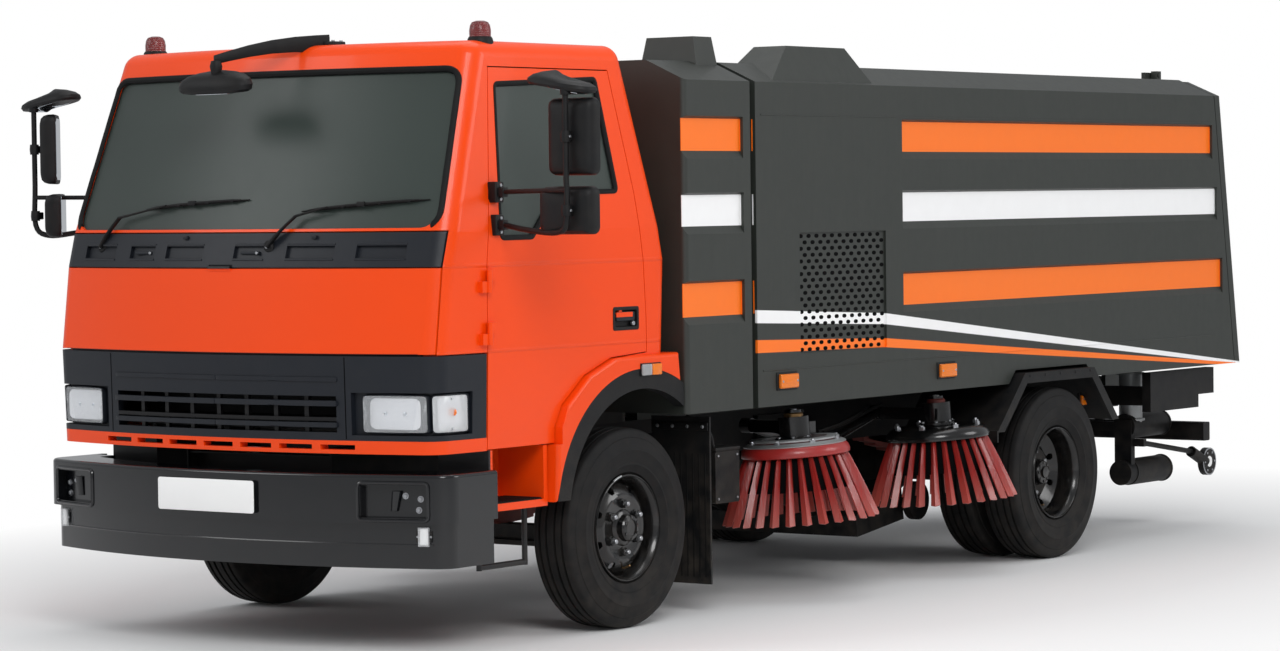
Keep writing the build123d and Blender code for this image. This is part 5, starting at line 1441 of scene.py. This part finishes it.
    @staticmethod
    def _cowl() -> None:
        """Moulded recess frames, washer jets and pull handles on the cowl."""
        form = Form(Paint.PANEL)
        skin = SHELL_SKIN
        recesses = ((-0.56, -0.40), (-0.33, -0.11), (0.06, 0.22), (0.33, 0.56), (0.66, 0.88), (-0.88, -0.66))
        for x0, x1 in recesses:
            for z, lift in ((1.648, -0.002), (1.582, 0.002)):
                spots = [skin.front(x0 + (x1 - x0) * t, z)[0] for t in (0, 0.25, 0.5, 0.75, 1)]
                form.tube([spot + Vector((0, 0.001, lift)) for spot in spots], 0.0042, 8)
        for x in (-0.48, 0.14):
            spot = skin.front(x, 1.612)[0]
            form.use(Paint.PANEL).knob(spot, (-0.050, -0.010, -0.006), (0.050, 0.004, 0.006), 0.003)
            form.use(Paint.STEEL).hexagon(spot + Vector((0.040, -0.010, 0)), AHEAD, 0.012, 0.005)
        for x in (-0.22, 0.46):
            form.use(Paint.PANEL).knob(skin.front(x, 1.672)[0], (-0.012, -0.012, -0.004), (0.012, 0.004, 0.010), 0.003)
        form.finish("cowl_mouldings", "truck")


@dataclass
class DoorFittings:
    """Mirrors with their stays, and the handles, drawn for the left door."""

    post: tuple[float, float] = (1.505, -1.002)
    turn: float = math.radians(50)      # how far the driver's heads are turned inwards
    deep: float = 0.072                 # of a mirror's housing
    handle: tuple = ((-0.095, 1.270), (0.069, 1.350))
    housing: Pairs = ((0.5, 0.90), (0.46, 0.975), (0.36, 1.0), (0.0, 0.99), (-0.25, 0.94), (-0.42, 0.84), (-0.5, 0.66),
                      (-0.52, 0.3))
    cup: tuple = ((0.010, -0.001), (0.009, 0.002), (0.002, 0.0035), (-0.004, 0.002), (-0.007, -0.019),
                  (-0.001, -0.021))

    def build(self) -> None:
        """Make both doors' fittings."""
        for form, hand in ((self._mirrors(0.0), "left"), (self._mirrors(self.turn).mirrored(), "right")):
            form.finish(f"mirror_set_{hand}", f"door_{hand}", [f"mirrors_{hand}"])
        handle = self._handle()
        for form, hand in ((handle, "left"), (handle.mirrored(), "right")):
            form.finish(f"handle_{hand}", f"door_{hand}")

    def _head(self, form: Form, centre: Point, wide: float, tall: float, turn: float) -> None:
        """Domed mirror housing whose glass faces the rear, turned about its upright."""
        swing = Matrix.Translation(centre) @ Matrix.Rotation(turn, 4, "Z")
        loop = oblong((-wide / 2, -tall / 2), (wide / 2, tall / 2), 0.032, 6, 0.03)
        rings = []
        for depth, share in self.housing:
            trim = (1 - share) * min(wide, tall) / 2
            across, up = 1 - trim * 2 / wide, 1 - trim * 2 / tall
            rings.append([swing @ Vector((p.x * across, depth * self.deep, p.y * up)) for p in loop])
        form.use(Paint.PLASTIC).loft(rings)
        glass = [swing @ Vector((p.x * 0.88, self.deep * 0.5, p.y * 0.88)) for p in loop]
        form.use(Paint.MIRROR).slab(glass, swing.to_3x3() @ Vector((0, 0.002, 0)))

    def _mirrors(self, turn: float) -> Form:
        """Main, wide-angle and kerb mirrors on a vertical post with two stays."""
        turned = turn > 0
        x, y = self.post[0] - 0.09 * turned, self.post[1]
        post = [(1.10, -0.882, 1.715), (1.25, -0.925, 1.694), (x - 0.06, -0.985, 1.684), (x, y, 1.730), (x, y, 1.90),
                (x, y, 2.15), (x, y, 2.262)]
        form = Form(Paint.PLASTIC).tube(smooth_path(post, 5), 0.0115, 12)
        form.tube([(1.09, -0.878, 1.846), (1.25, -0.935, 1.848), (x - 0.005, y, 1.850)], 0.0095, 12)
        for z in (1.714, 1.846):
            form.use(Paint.PLASTIC).block((1.030, -0.905, z - 0.042), (1.078, -0.852, z + 0.042), 0.006)
            form.block((1.070, -0.895, z - 0.020), (1.108, -0.862, z + 0.020), 0.005)
            form.bolts([(1.078, -0.878, z + dz) for dz in (-0.028, 0.028)], OUT, 0.013, 0.006)
        clamp = ((0, -0.022), (0.019, -0.022), (0.021, 0.0), (0.019, 0.022), (0, 0.022))
        for z, out in ((1.77, 0.038), (2.06, 0.038), (2.245, 0.030)):
            form.use(Paint.PLASTIC).lathe(clamp, (x, y, z), steps=18)
            form.block((x - 0.014, y + 0.008, z - 0.016), (x + 0.014, y + out, z + 0.016), 0.004)
            form.use(Paint.STEEL).hexagon((x + 0.017, y, z), OUT, 0.010, 0.008)
        self._head(form, (x - 0.012 - 0.02 * turned, -0.940, 2.060), 0.225, 0.305, turn)
        self._head(form, (x - 0.038 - 0.02 * turned, -0.940, 1.770), 0.265, 0.190, turn)
        outline = oval(32, 0.155, 0.078, (0.7, 0.8))
        shell = ((-0.018, 0.72), (-0.016, 0.94), (-0.008, 1.0), (0.002, 0.97), (0.012, 0.82), (0.019, 0.55),
                 (0.022, 0.2))
        glass = ((0.0, 0.70), (-0.0025, 0.68), (-0.0035, 0.2))
        for finish, rings, height, swell in ((Paint.PLASTIC, shell, 2.272, 1.3), (Paint.MIRROR, glass, 2.2500, 1.0)):
            form.use(finish).loft([[Vector((x - 0.055 + px * s, -0.950 + py * s, height + d * swell - px * 0.15))
                                    for px, py in outline] for d, s in rings])
        return form

    def _handle(self) -> Form:
        """Cup and paddle of the door handle."""
        (y0, z0), (y1, z1) = self.handle
        face = Skin("door_left").left(-0.12, 1.31)[0].x
        form = Form(Paint.PLASTIC)
        loop = oblong(*self.handle, 0.012, 4, 0.04)
        centre = Vector(((y0 + y1) / 2, (z0 + z1) / 2))
        rings = []
        for p in loop:
            out = Vector((math.copysign(1, p.x - centre.x), math.copysign(1, p.y - centre.y)))
            rings.append([Vector((face + lift, *(p + out * grow))) for grow, lift in self.cup])
        form.loft(rings, closed=True)
        form.slab([Vector((face - 0.022, *p)) for p in loop], (0.0015, 0, 0))
        form.use(Paint.PANEL).plate((y0 + 0.020, z0 + 0.030), (y1 - 0.014, z1 - 0.012), 0.008,
                                    lambda y, z: (face - 0.012, y, z), (0.010, 0, 0), 0.003, run=0.04)
        lock = ((0, -0.012), (0.010, -0.012), (0.010, -0.002), (0.008, 0.0), (0, 0.0))
        return form.use(Paint.STEEL).lathe(lock, (face, y1 - 0.024, z0 + 0.018), OUT, 20)


@dataclass
class Steps:
    """Tread mats and edges on the cab steps."""

    ribs: int = 15
    pitch: float = 0.0215

    def build(self) -> None:
        """Make the mats on both sides."""
        turn = Matrix.Rotation(math.pi / 2, 4, "Z")
        rib = Form(Paint.RUBBER).block((-0.095, -0.006, 0.0), (0.095, 0.006, 0.004), 0.0015)
        ribs = ROW.lay(Form(Paint.RUBBER).join(rib, turn), self.ribs, Pitch_Across=self.pitch)
        form = Form(Paint.RUBBER).block((0.842, -0.896, 0.590), (1.038, -0.578, 0.594), 0.001)
        form.join(ribs, Matrix.Translation((0.94, -0.888, 0.5935)) @ turn)
        form.block((0.955, -0.885, 0.3295), (0.967, -0.615, 0.3425), 0.002)
        form.both().finish("step_mats", "truck")


# ------------------------------------------------------------------------------------------- cab inside
@dataclass
class CabInterior:
    """Padded seats on their bases, and the steering wheel."""

    seat_x: float = 0.56
    wheel: tuple = (-0.5, -0.7, 1.52)
    column: tuple = (0, 0.150, 0.260)      # the way the steering wheel faces
    rim_r: float = 0.203
    grip_r: float = 0.0125
    cells: int = 28                        # of a seat pad's mesh, along each edge

    def build(self) -> None:
        """Make what stands in the cab."""
        for side, hand in SIDES:
            x = side * self.seat_x
            self._pad(f"seat_cushion_{hand}", (x, -0.26, 1.268), (0.225, 0.215, 0.050), 0.0)
            self._pad(f"seat_back_{hand}", (x, -0.015, 1.625), (0.215, 0.045, 0.285), math.radians(-12))
        x = self.seat_x
        bases = Form(Paint.PLASTIC).block((x - 0.19, -0.44, 1.127), (x + 0.19, -0.06, 1.205), 0.010)
        for rail in (x - 0.20, x + 0.20):
            bases.use(Paint.STEEL).tube([(rail, -0.40, 1.20), (rail, -0.10, 1.20)], 0.010, 8)
        bases.both().finish("seat_bases", "truck", ["cab_seats"])
        self._steering()

    def _pad(self, name: str, centre: Point, half: Point, lean: float) -> None:
        """Puffed pad with rounded edges and two stitched grooves.

        Args:
            name: Piece name.
            centre: Its middle.
            half: Its half sizes.
            lean: Turn about X in radians.
        """
        form = Form(Paint.CLOTH)
        size, turn = Vector(half), Matrix.Rotation(lean, 3, "X")
        thin = 2 if size.z < size.y else 1
        wide = [axis for axis in range(3) if axis != thin]
        verts = {}
        for face in range(6):
            axis, sign = face // 2, 1 if face % 2 else -1
            u, v = [other for other in range(3) if other != axis]
            grid = []
            for i in range(self.cells + 1):
                row = []
                for j in range(self.cells + 1):
                    p = Vector()
                    p[axis], p[u], p[v] = sign, i / self.cells * 2 - 1, j / self.cells * 2 - 1
                    spot = self._puff(p, size, thin, wide)
                    key = tuple(round(c, 5) for c in spot)
                    if key not in verts:
                        verts[key] = form.bm.verts.new(Vector(centre) + turn @ spot)
                    row.append(verts[key])
                grid.append(row)
            for near, far in zip(grid, grid[1:]):
                for j in range(self.cells):
                    form.face((near[j], far[j], far[j + 1], near[j + 1]))
        form.finish(name, "truck", crease=60)

    @staticmethod
    def _puff(p: Vector, size: Vector, thin: int, wide: list[int]) -> Vector:
        """Move a cube's point to the padded shape."""
        power = sum(abs(c) ** 7 for c in p) ** (1 / 7)
        q = Vector([c / power * s for c, s in zip(p, size)])
        a, b = (q[axis] / size[axis] for axis in wide)
        crown = (1 - a ** 4) * (1 - b ** 4)
        groove = math.exp(-((abs(a) - 0.52) / 0.035) ** 2) + 0.7 * math.exp(-((b - 0.1) / 0.03) ** 2) * (abs(a) < 0.52)
        q[thin] *= 0.82 + 0.2 * crown - 0.10 * groove * crown
        return q

    def _steering(self) -> None:
        """Steering wheel with three spokes and a horn pad."""
        rim = [(self.rim_r + self.grip_r * math.cos(a), self.grip_r * math.sin(a)) for a in turns(14)]
        form = Form(Paint.PLASTIC).lathe(rim, steps=72, closed=True)
        for a in turns(3):
            way = Vector((math.cos(a + math.pi / 2), math.sin(a + math.pi / 2), 0))
            spoke = [way * 0.03 + Vector((0, 0, -0.022)), way * 0.10 + Vector((0, 0, -0.018)), way * 0.198]
            form.tube(spoke, [0.022, 0.018, 0.014], 12, 0.42)
        form.lathe([(0, -0.04), (0.05, -0.04), (0.058, -0.012), (0.05, 0.002), (0.02, 0.006), (0, 0.006)], steps=36)
        whole = Form(Paint.PLASTIC).join(form, upright(self.wheel, self.column))
        axis, middle = Vector(self.column).normalized(), Vector(self.wheel)
        whole.tube([middle - axis * 0.03, middle - axis * 0.20], 0.022, 16)
        whole.finish("steering_wheel_piece", "steering_wheel", ["steering_wheel"])


# ------------------------------------------------------------------------------------------- sweeper body
@dataclass
class HopperDetails:
    """Perforations in painted shade, marker lamps, tail lamps and seams of the sweeper body."""

    low: tuple[float, float] = (1.25, 1.11)
    high: tuple[float, float] = (1.97, 1.65)

    def build(self) -> None:
        """Make the body's pieces."""
        self._grille()
        self._markers()
        self._rear()
        self._seams()

    def _grille(self) -> None:
        """Dark ovals of painted shade in staggered rows, standing in for the holes, with a rim round each."""
        outline = oval(20, 0.0172, 0.0092, (0.8, 1))
        # Painted shade: each hole is a dark oval pad, not an opening.
        unit = Form(Paint.GAP_AND_SHADE).loft([[(x * s, y * s, z) for x, y in outline] for s, z in
                                      ((1.0, -0.003), (1.0, 0.0004), (0.96, 0.0006), (0.2, 0.0006))])
        sheet = GRID.lay(unit, 11, 19, Pitch_Across=0.064, Pitch_Up=0.0283)
        floor = Skin("hopper_body").left(1.6, 1.38)[0].x
        middle = Vector((floor, (self.low[0] + self.high[0]) / 2 - 0.016, (self.low[1] + self.high[1]) / 2))
        upright_sheet = Matrix(((0, 0, 1, 0), (1, 0, 0, 0), (0, 1, 0, 0), (0, 0, 0, 1)))
        form = Form(Paint.GAP_AND_SHADE).join(sheet, Matrix.Translation(middle) @ upright_sheet)
        form.both().finish("perforations", "hopper")

    @staticmethod
    def _marker(form: Form, skin: Skin, y: float, z: float, felt: float = 0.0) -> None:
        """Amber marker lamp on a black base with two screws, its skin felt at the same or another height."""
        spot = Vector((skin.left(y, felt or z)[0].x, y, z))
        form.use(Paint.PLASTIC).knob(spot, (-0.004, -0.082, -0.040), (0.006, 0.082, 0.040), 0.004)
        form.use(Paint.AMBER).knob(spot, (0.004, -0.072, -0.032), (0.022, 0.072, 0.032), 0.007, 3)
        for dy in (-0.058, 0.058):
            form.use(Paint.STEEL).lathe([(0, 0.0), (0.006, 0.0), (0.005, 0.002), (0, 0.0025)],
                                        spot + Vector((0.0215, dy, 0)), OUT, 10)

    def _markers(self) -> None:
        """Side markers along the body and the mudguard."""
        skin = Skin("hopper_body")
        form, guard = Form(Paint.PLASTIC), Form(Paint.PLASTIC)
        for y, z in ((1.133, 0.993), (2.49, 0.979)):
            self._marker(form, skin, y, z)
        form.both().finish("side_markers", "hopper")
        self._marker(guard, Skin("mudguards"), 4.02, 0.765, 0.745)
        guard.both().finish("guard_markers", "truck")

    @staticmethod
    def _rear() -> None:
        """Tail lamps on the rear door."""
        skin = Skin("rear_door")
        form = Form(Paint.RUBBER)
        for z, lens in ((1.30, Paint.RED), (1.18, Paint.AMBER), (1.06, Paint.CLEAR)):
            spot, normal = skin.onto((0.86, 9.0, z), AHEAD)
            side = Vector(OUT)
            up = normal.cross(side).normalized()
            for finish, wide, tall, deep in ((Paint.PLASTIC, 0.105, 0.050, 0.010), (lens, 0.095, 0.042, 0.028)):
                form.use(finish).plate((-wide, -tall), (wide, tall), 0.012, lambda x, y: spot + side * x + up * y,
                                       normal * deep, 0.003, run=0.1)
        form.both().finish("tail_lamps", "rear_door")

    @staticmethod
    def _seams() -> None:
        """Weld seams along the body's top and bottom edges."""
        form = Form(Paint.BODY)
        skin = Skin("hopper_body")
        for z in (2.175, 1.045):
            form.tube([skin.left(0.95 + 4.25 * k / 30, z)[0] for k in range(31)], 0.0035, 6)
        form.both().finish("body_seams", "hopper")


# ------------------------------------------------------------------------------------------- brushes
HOSE_TRACKS = {"front": ((0.62, 1.92, 0.70), (0.70, 1.758, 0.735), (0.82, 1.595, 0.822), (0.93, 1.456, 0.835)),
               "rear": ((0.64, 2.10, 0.70), (0.655, 2.26, 0.727), (0.665, 2.42, 0.768), (0.665, 2.55, 0.803))}


@dataclass
class DiscBrush:
    """One disc brush: ribbed plastic strips folded to a point, round a collar.

    Attributes:
        side: 1 for the left, -1 for the right.
        row: "front" or "rear".
        centre_y: Its place along the truck.
    """

    side: int
    row: str
    centre_y: float
    x: float = 0.98
    head_z: float = 0.7642
    drop: float = 0.055
    height: float = 0.3495
    lean: float = math.radians(4)
    tufts: int = 28
    thick: float = 0.0044     # of a strip
    # Painted shade: profile of a dark cone inside the strips, where shade falls between them.
    shade: Pairs = ((0.12, -0.02), (0.205, -0.03), (0.250, -0.16), (0.262, -0.215), (0.256, -0.215), (0.12, -0.05))
    collar: Pairs = ((0.09, -0.002), (0.200, -0.002), (0.226, -0.012), (0.243, -0.030), (0.249, -0.048),
                     (0.247, -0.062), (0.238, -0.066), (0.09, -0.03))
    clamps: tuple = (((0.150, 0.000), (0.196, 0.000), (0.204, 0.005), (0.204, 0.012), (0.198, 0.015), (0.150, 0.015)),
                     ((0.208, -0.006), (0.232, -0.017), (0.234, -0.012), (0.210, 0.000)))
    hub: Pairs = ((0.0, 0.006), (0.088, 0.006), (0.088, 0.014), (0.060, 0.024), (0.052, 0.028), (0.052, 0.052),
                  (0.0, 0.052))
    motor: Pairs = ((0, 0), (0.047, 0), (0.049, 0.006), (0.049, 0.040), (0.044, 0.046), (0.044, 0.070),
                    (0.036, 0.078), (0, 0.078))
    hose_gap: float = 0.044

    def build(self) -> None:
        """Make the brush and what it hangs on."""
        tag = f"{self.row}_{'left' if self.side > 0 else 'right'}"
        s, c = math.sin(self.lean), math.cos(self.lean)
        axis = Vector((-self.side * 0.81 * s, -0.59 * s, c))
        top = Vector((self.side * self.x, self.centre_y, self.head_z - self.drop))
        self._disc(tag, axis, top)
        self._head(tag, axis, top)
        self._hoses(tag)

    def _disc(self, tag: str, axis: Vector, top: Vector) -> None:
        """Strips, a dark cone of painted shade inside them, collar and clamp ring."""
        front = self.row == "front"
        form = Form(Paint.BRISTLE).join(RING.lay(self._strip(), self.tufts, Radius=1e-4))
        # Dark cone of painted shade behind the strips.
        form.use(Paint.GAP_AND_SHADE).lathe(self.shade, steps=56, closed=True)
        form.use(Paint.COLLAR if front else Paint.STEEL_BLACK).lathe(self.collar, steps=84, closed=True)
        for clamp in self.clamps if front else ():
            form.use(Paint.ZINC).lathe(clamp, steps=84, closed=True)
        clip = Form(Paint.STEEL).block((0.196, -0.013, -0.010), (0.214, 0.013, 0.008), 0.002)
        clip.hexagon((0.205, 0, 0.007), UP, 0.014, 0.008)
        form.join(RING.lay(clip, 8, Radius=1e-4), Matrix.Rotation(0.2, 4, "Z"))
        whole = Form(Paint.BRISTLE).join(form, upright(top, axis))
        whole.finish(f"brush_piece_{tag}", f"disc_brush_{tag}", [f"disc_brush_{tag}"], crease=40)

    def _strip(self) -> Form:
        """One strip folded to a V along its length, fanning out towards the ground."""
        steps, base, reach, thick = 10, 0.228, 0.358, self.thick
        section = ((-1, 0), (-0.5, 0), (0, 0), (0.5, 0), (1, 0), (1, -thick), (0.5, -thick * 1.4), (0, -thick * 1.8),
                   (-0.5, -thick * 1.4), (-1, -thick))
        slope = Vector((0.38, 0, -1)).normalized()
        out = Vector(UP).cross(slope).cross(slope).normalized()
        out = out if out.x > 0 else -out
        rings = []
        for t in (k / steps for k in range(steps + 1)):
            middle = Vector((base + (reach - base) * t ** 0.9, 0, -0.050 - (self.height - 0.0420) * t))
            wide, fold, point = 0.0115 + 0.0105 * t, 0.018 + 0.007 * t, 0.010 * t ** 7
            rings.append([middle + Vector((0, w * wide, point * abs(w))) + out * (fold * (abs(w) * -0.9) + d)
                          for w, d in section])
        return Form(Paint.BRISTLE).loft(rings)

    def _head(self, tag: str, axis: Vector, top: Vector) -> None:
        """Drive head with its bolts and motor, above the disc."""
        rear = self.row == "rear"
        form = Form(Paint.STEEL_BLACK).lathe(self.hub, top, axis, 40)
        nut = Form(Paint.STEEL).hexagon(ORIGIN, UP, 0.016, 0.009)
        form.join(RING.lay(nut, 6, Radius=0.074), upright(top + axis * 0.0135, axis))
        base = top + axis * self.hub[-1][1]
        form.use(Paint.RUSTY if rear else Paint.BRASS).lathe(self.motor, base, UP, 32)
        form.use(Paint.PLATE if rear else Paint.STEEL)
        form.lathe([(0, 0.076), (0.018, 0.076), (0.016, 0.092), (0, 0.094)], base, UP, 20)
        form.finish(f"drive_head_{tag}", f"brush_head_{tag}")

    def _hoses(self, tag: str) -> None:
        """Pair of hoses along the arm."""
        form = Form(Paint.HOSE)
        *run, (x, y, z) = HOSE_TRACKS[self.row]
        for offset in (-self.hose_gap / 2, self.hose_gap / 2):
            path = smooth_path([(self.side * px, py, pz) for px, py, pz in (*run, (x + offset, y, z))])
            form.tube([p + Vector((0, offset, 0)) for p in path], 0.009, 10)
        form.finish(f"brush_hoses_{tag}", f"brush_arm_{tag}")


# ------------------------------------------------------------------------------------------- under and behind
@dataclass
class Underbody:
    """Fittings of the battery box, the mud flaps, the rear outlets and the mudguards."""

    flap_ribs: int = 9
    rib_pitch: float = 0.0325
    guard_bolts: tuple[float, ...] = (3.2, 3.35, 3.5, 3.65, 3.8)

    def build(self) -> None:
        """Make the chassis pieces."""
        self._battery()
        self._flaps()
        self._outlets()
        self._guards()

    @staticmethod
    def _battery() -> None:
        """Bolts, a lid line and a cable on the battery box."""
        form = Form(Paint.STEEL).bolts([(1.0, y, z) for y in (0.735, 0.88) for z in (0.49, 0.68)], OUT, 0.010, 0.005)
        form.use(Paint.PLASTIC).block((0.70, 0.712, 0.700), (1.006, 0.903, 0.716), 0.004)
        cable = [(0.98, 0.73, 0.716), (0.985, 0.70, 0.78), (0.96, 0.66, 0.83), (0.90, 0.64, 0.86)]
        form.use(Paint.HOSE).tube(smooth_path(cable), 0.007, 8)
        form.finish("battery_fittings", "truck")

    def _flaps(self) -> None:
        """Ribs and clamping strips of the mud flaps."""
        form = Form(Paint.RUBBER)
        for x in (0.765 + self.rib_pitch * k for k in range(self.flap_ribs)):
            form.block((x - 0.004, 0.5975, 0.16), (x + 0.004, 0.6005, 0.70), 0.001)
        form.use(Paint.FRAME).block((0.745, 0.592, 0.80), (1.045, 0.600, 0.835), 0.002)
        form.bolts([(x, 0.592, 0.8175) for x in (0.78, 0.86, 0.94, 1.02)], AHEAD, 0.014, 0.007)
        form.both().finish("flap_fittings", "truck")

    @staticmethod
    def _outlets() -> None:
        """Sleeve, flanges and lips of the outlets, and the bolted disc beside them."""
        form = Form(Paint.ZINC)
        pipe, disc = (0.75, 4.95), (0.872, 5.615, 0.335)
        sleeve = ((0.0605, -0.14), (0.0625, -0.14), (0.0625, 0.14), (0.0605, 0.14))
        flange = ((0.0605, -0.006), (0.074, -0.006), (0.075, 0.0), (0.074, 0.006), (0.0605, 0.006))
        for profile, z in ((sleeve, 0.715), (flange, 0.60), (flange, 0.845)):
            form.lathe(profile, (*pipe, z), UP, 40, closed=True)
        form.use(Paint.PLASTIC)
        for y, z, r in ((5.283, 0.32, 0.070), (5.278, 0.565, 0.066)):
            lip = [(r - 0.008, -0.012), (r + 0.003, -0.012), (r + 0.004, 0.0), (r - 0.002, 0.003), (r - 0.008, 0.0)]
            form.lathe(lip, (pipe[0], y, z), BACK, 40, closed=True)
        form.use(Paint.PLATE).lathe([(0, 0), (0.030, 0), (0.028, 0.002), (0, 0.0025)], disc, OUT, 24)
        band = [(0.068, -0.001), (0.0755, -0.001), (0.0755, 0.001), (0.068, 0.001)]
        form.use(Paint.STEEL).lathe(band, (disc[0] + 0.0005, *disc[1:]), OUT, 36, closed=True)
        x, y, z = disc
        form.bolts([(x, y + 0.054 * math.cos(a), z + 0.054 * math.sin(a)) for a in turns(6)], OUT, 0.011, 0.005)
        form.finish("rear_fittings", "truck")

    def _guards(self) -> None:
        """Bolts along the mudguards."""
        form = Form(Paint.PLASTIC)
        skin = Skin("mudguards")
        for y in self.guard_bolts:
            form.lathe([(0, 0), (0.008, 0), (0.006, 0.003), (0, 0.004)], *skin.left(y, 0.920), 12)
        form.both().finish("guard_bolts", "truck")


# ------------------------------------------------------------------------------------------- CAD pieces
BRUSH_ROWS = (("front", 1.37), ("rear", 2.60))
DRESS = {
    Paint.CAB: ("cab_shell", "door_left", "door_right", "front_lid"),
    Paint.TRIM: ("step_wells",),
    Paint.BODY: ("hopper_body", "engine_house", "rear_door"),
    Paint.GRILLE: ("grille_panel",),
    Paint.PANEL: ("cowl_panel",),
    Paint.BUMPER: ("front_bumper",),
    Paint.PLASTIC: ("arch_lips", "mudguards", "battery_box"),
    Paint.FRAME: ("cab_floor", "chassis_frame", "rear_skirts", "rear_underrun", "rear_outlets", "fuel_tank",
                  "suction_nozzle"),
    Paint.STEEL_BLACK: tuple(f"brush_{part}_{row}_{hand}" for part in ("arm", "head") for row, _ in BRUSH_ROWS
                             for _, hand in SIDES),
    Paint.CAST: ("auxiliary_engine", "driveline", "front_axle", "rear_axle", "knuckle_left", "knuckle_right"),
    Paint.RUSTY: ("leaf_springs",),
    Paint.STEEL: ("tie_rod", "tip_rod"),
    Paint.BLUE: ("tip_cylinder",),
    Paint.TYRE: ("nozzle_wheels",),
    Paint.INTERIOR: ("dashboard",),
    Paint.GLASS: ("cab_glass", "door_glass_left", "door_glass_right"),
}


def dress_cad() -> None:
    """Give every CAD node that stays in view its finish."""
    for finish, names in DRESS.items():
        for name in names:
            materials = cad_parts[name].data.materials
            materials.clear()
            materials.append(finish.dress())


# ------------------------------------------------------------------------------------------- studio
@dataclass
class Studio:
    """Camera, soft lights and a plain pale floor."""

    place: tuple = (10.2835, -12.5594, 1.8181)
    yaw: float = 0.6302
    pitch: float = 0.0346
    roll: float = -0.0127
    focal_px: float = 3704.36
    width_px: float = 1280.0
    sensor_mm: float = 36.0
    sky: Colour = (0.95, 0.97, 1.0)
    lamps: tuple = (("key", (8.0, -9.0, 7.5), 5.0, 560.0), ("front", (-6.0, -10.0, 6.5), 5.0, 200.0),
                    ("side", (11.0, 5.0, 6.5), 6.0, 380.0), ("top", (0.0, 0.0, 9.5), 8.0, 290.0))

    def build(self) -> None:
        """Set the camera, the floor and the light."""
        scene = bpy.context.scene
        scene.camera = self._camera()
        self._floor()
        scene.world = self._world()
        for lamp in self.lamps:
            self._lamp(*lamp)
        scene.view_settings.view_transform = "Standard"
        scene.view_settings.look = "None"

    @staticmethod
    def _add(name: str, data: bpy.types.ID) -> bpy.types.Object:
        """New object in the scene."""
        item = bpy.data.objects.new(name, data)
        bpy.context.scene.collection.objects.link(item)
        return item

    def _camera(self) -> bpy.types.Object:
        """Camera that sees the truck from its front left corner."""
        level = math.cos(self.pitch)
        ahead = Vector((-math.sin(self.yaw) * level, math.cos(self.yaw) * level, -math.sin(self.pitch)))
        right = ahead.cross(Vector(UP)).normalized()
        up = right.cross(ahead)
        c, s = math.cos(self.roll), math.sin(self.roll)
        right, up = right * c + up * s, up * c - right * s
        data = bpy.data.cameras.new("camera")
        data.sensor_width, data.clip_end = self.sensor_mm, 200
        data.lens = self.focal_px / self.width_px * self.sensor_mm
        camera = self._add("camera", data)
        turn = Matrix((right, up, -ahead)).transposed().to_4x4()
        camera.matrix_world = Matrix.Translation(Vector(self.place) + Vector((0, AXLE_Y, 0))) @ turn
        return camera

    def _floor(self) -> None:
        """Pale floor that is white to the camera away from the truck."""
        mesh = bpy.data.meshes.new("floor")
        mesh.from_pydata([(-60, -60, 0), (60, -60, 0), (60, 60, 0), (-60, 60, 0)], [], [(0, 1, 2, 3)])
        floor = self._add("floor", mesh)
        shader = Shader("studio_floor")
        x, y = shader.axis("X"), shader.axis("Y") + AXLE_Y
        reach = shader.add("ShaderNodeMath", {"operation": "SQRT"}, {0: x * x + y * y * 0.45})
        seen = shader.add("ShaderNodeLightPath", out="Is Camera Ray")
        matt = shader.add("ShaderNodeBsdfPrincipled", inputs={"Base Color": (0.82, 0.82, 0.82), "Roughness": 0.8})
        plain = shader.add("ShaderNodeEmission", inputs={"Color": (1.0, 1.0, 1.0), "Strength": 1.0})
        shader.blend(reach.above(3.6, 2.6) * seen, matt, plain)
        mesh.materials.append(shader.holder)

    def _world(self) -> bpy.types.World:
        """Soft sky that is white to the camera and through glass."""
        shader = Shader("sky", world=True)
        path = shader.add("ShaderNodeLightPath", out="Is Camera Ray")
        seen = path.highest(Field(shader, path.socket.node.outputs["Is Transmission Ray"]))
        soft = shader.add("ShaderNodeBackground", inputs={"Color": self.sky, "Strength": 0.5})
        white = shader.add("ShaderNodeBackground", inputs={"Color": (1.0, 1.0, 1.0)})
        shader.blend(seen, soft, white)
        return shader.holder

    def _lamp(self, name: str, spot: Point, size: float, power: float) -> None:
        """Round area light turned towards the truck."""
        data = bpy.data.lights.new(name, "AREA")
        data.shape, data.size, data.energy = "DISK", size, power
        light = self._add(name, data)
        light.location = spot
        light.rotation_euler = (Vector(UP) - Vector(spot)).to_track_quat("-Z", "Y").to_euler()


def main() -> None:
    """Build every piece, then the studio."""
    logging.basicConfig(level=logging.INFO, format="%(message)s")
    dress_cad()
    brushes = [DiscBrush(side, row, y) for side, _ in SIDES for row, y in BRUSH_ROWS]
    for builder in (RunningGear(), CabSeals(), FrontLamps(), FrontDetails(), DoorFittings(), Steps(), CabInterior(),
                    HopperDetails(), Underbody(), *brushes, Studio()):
        builder.build()
        LOG.info("%s is built", type(builder).__name__)


if __name__ == "__main__":
    main()
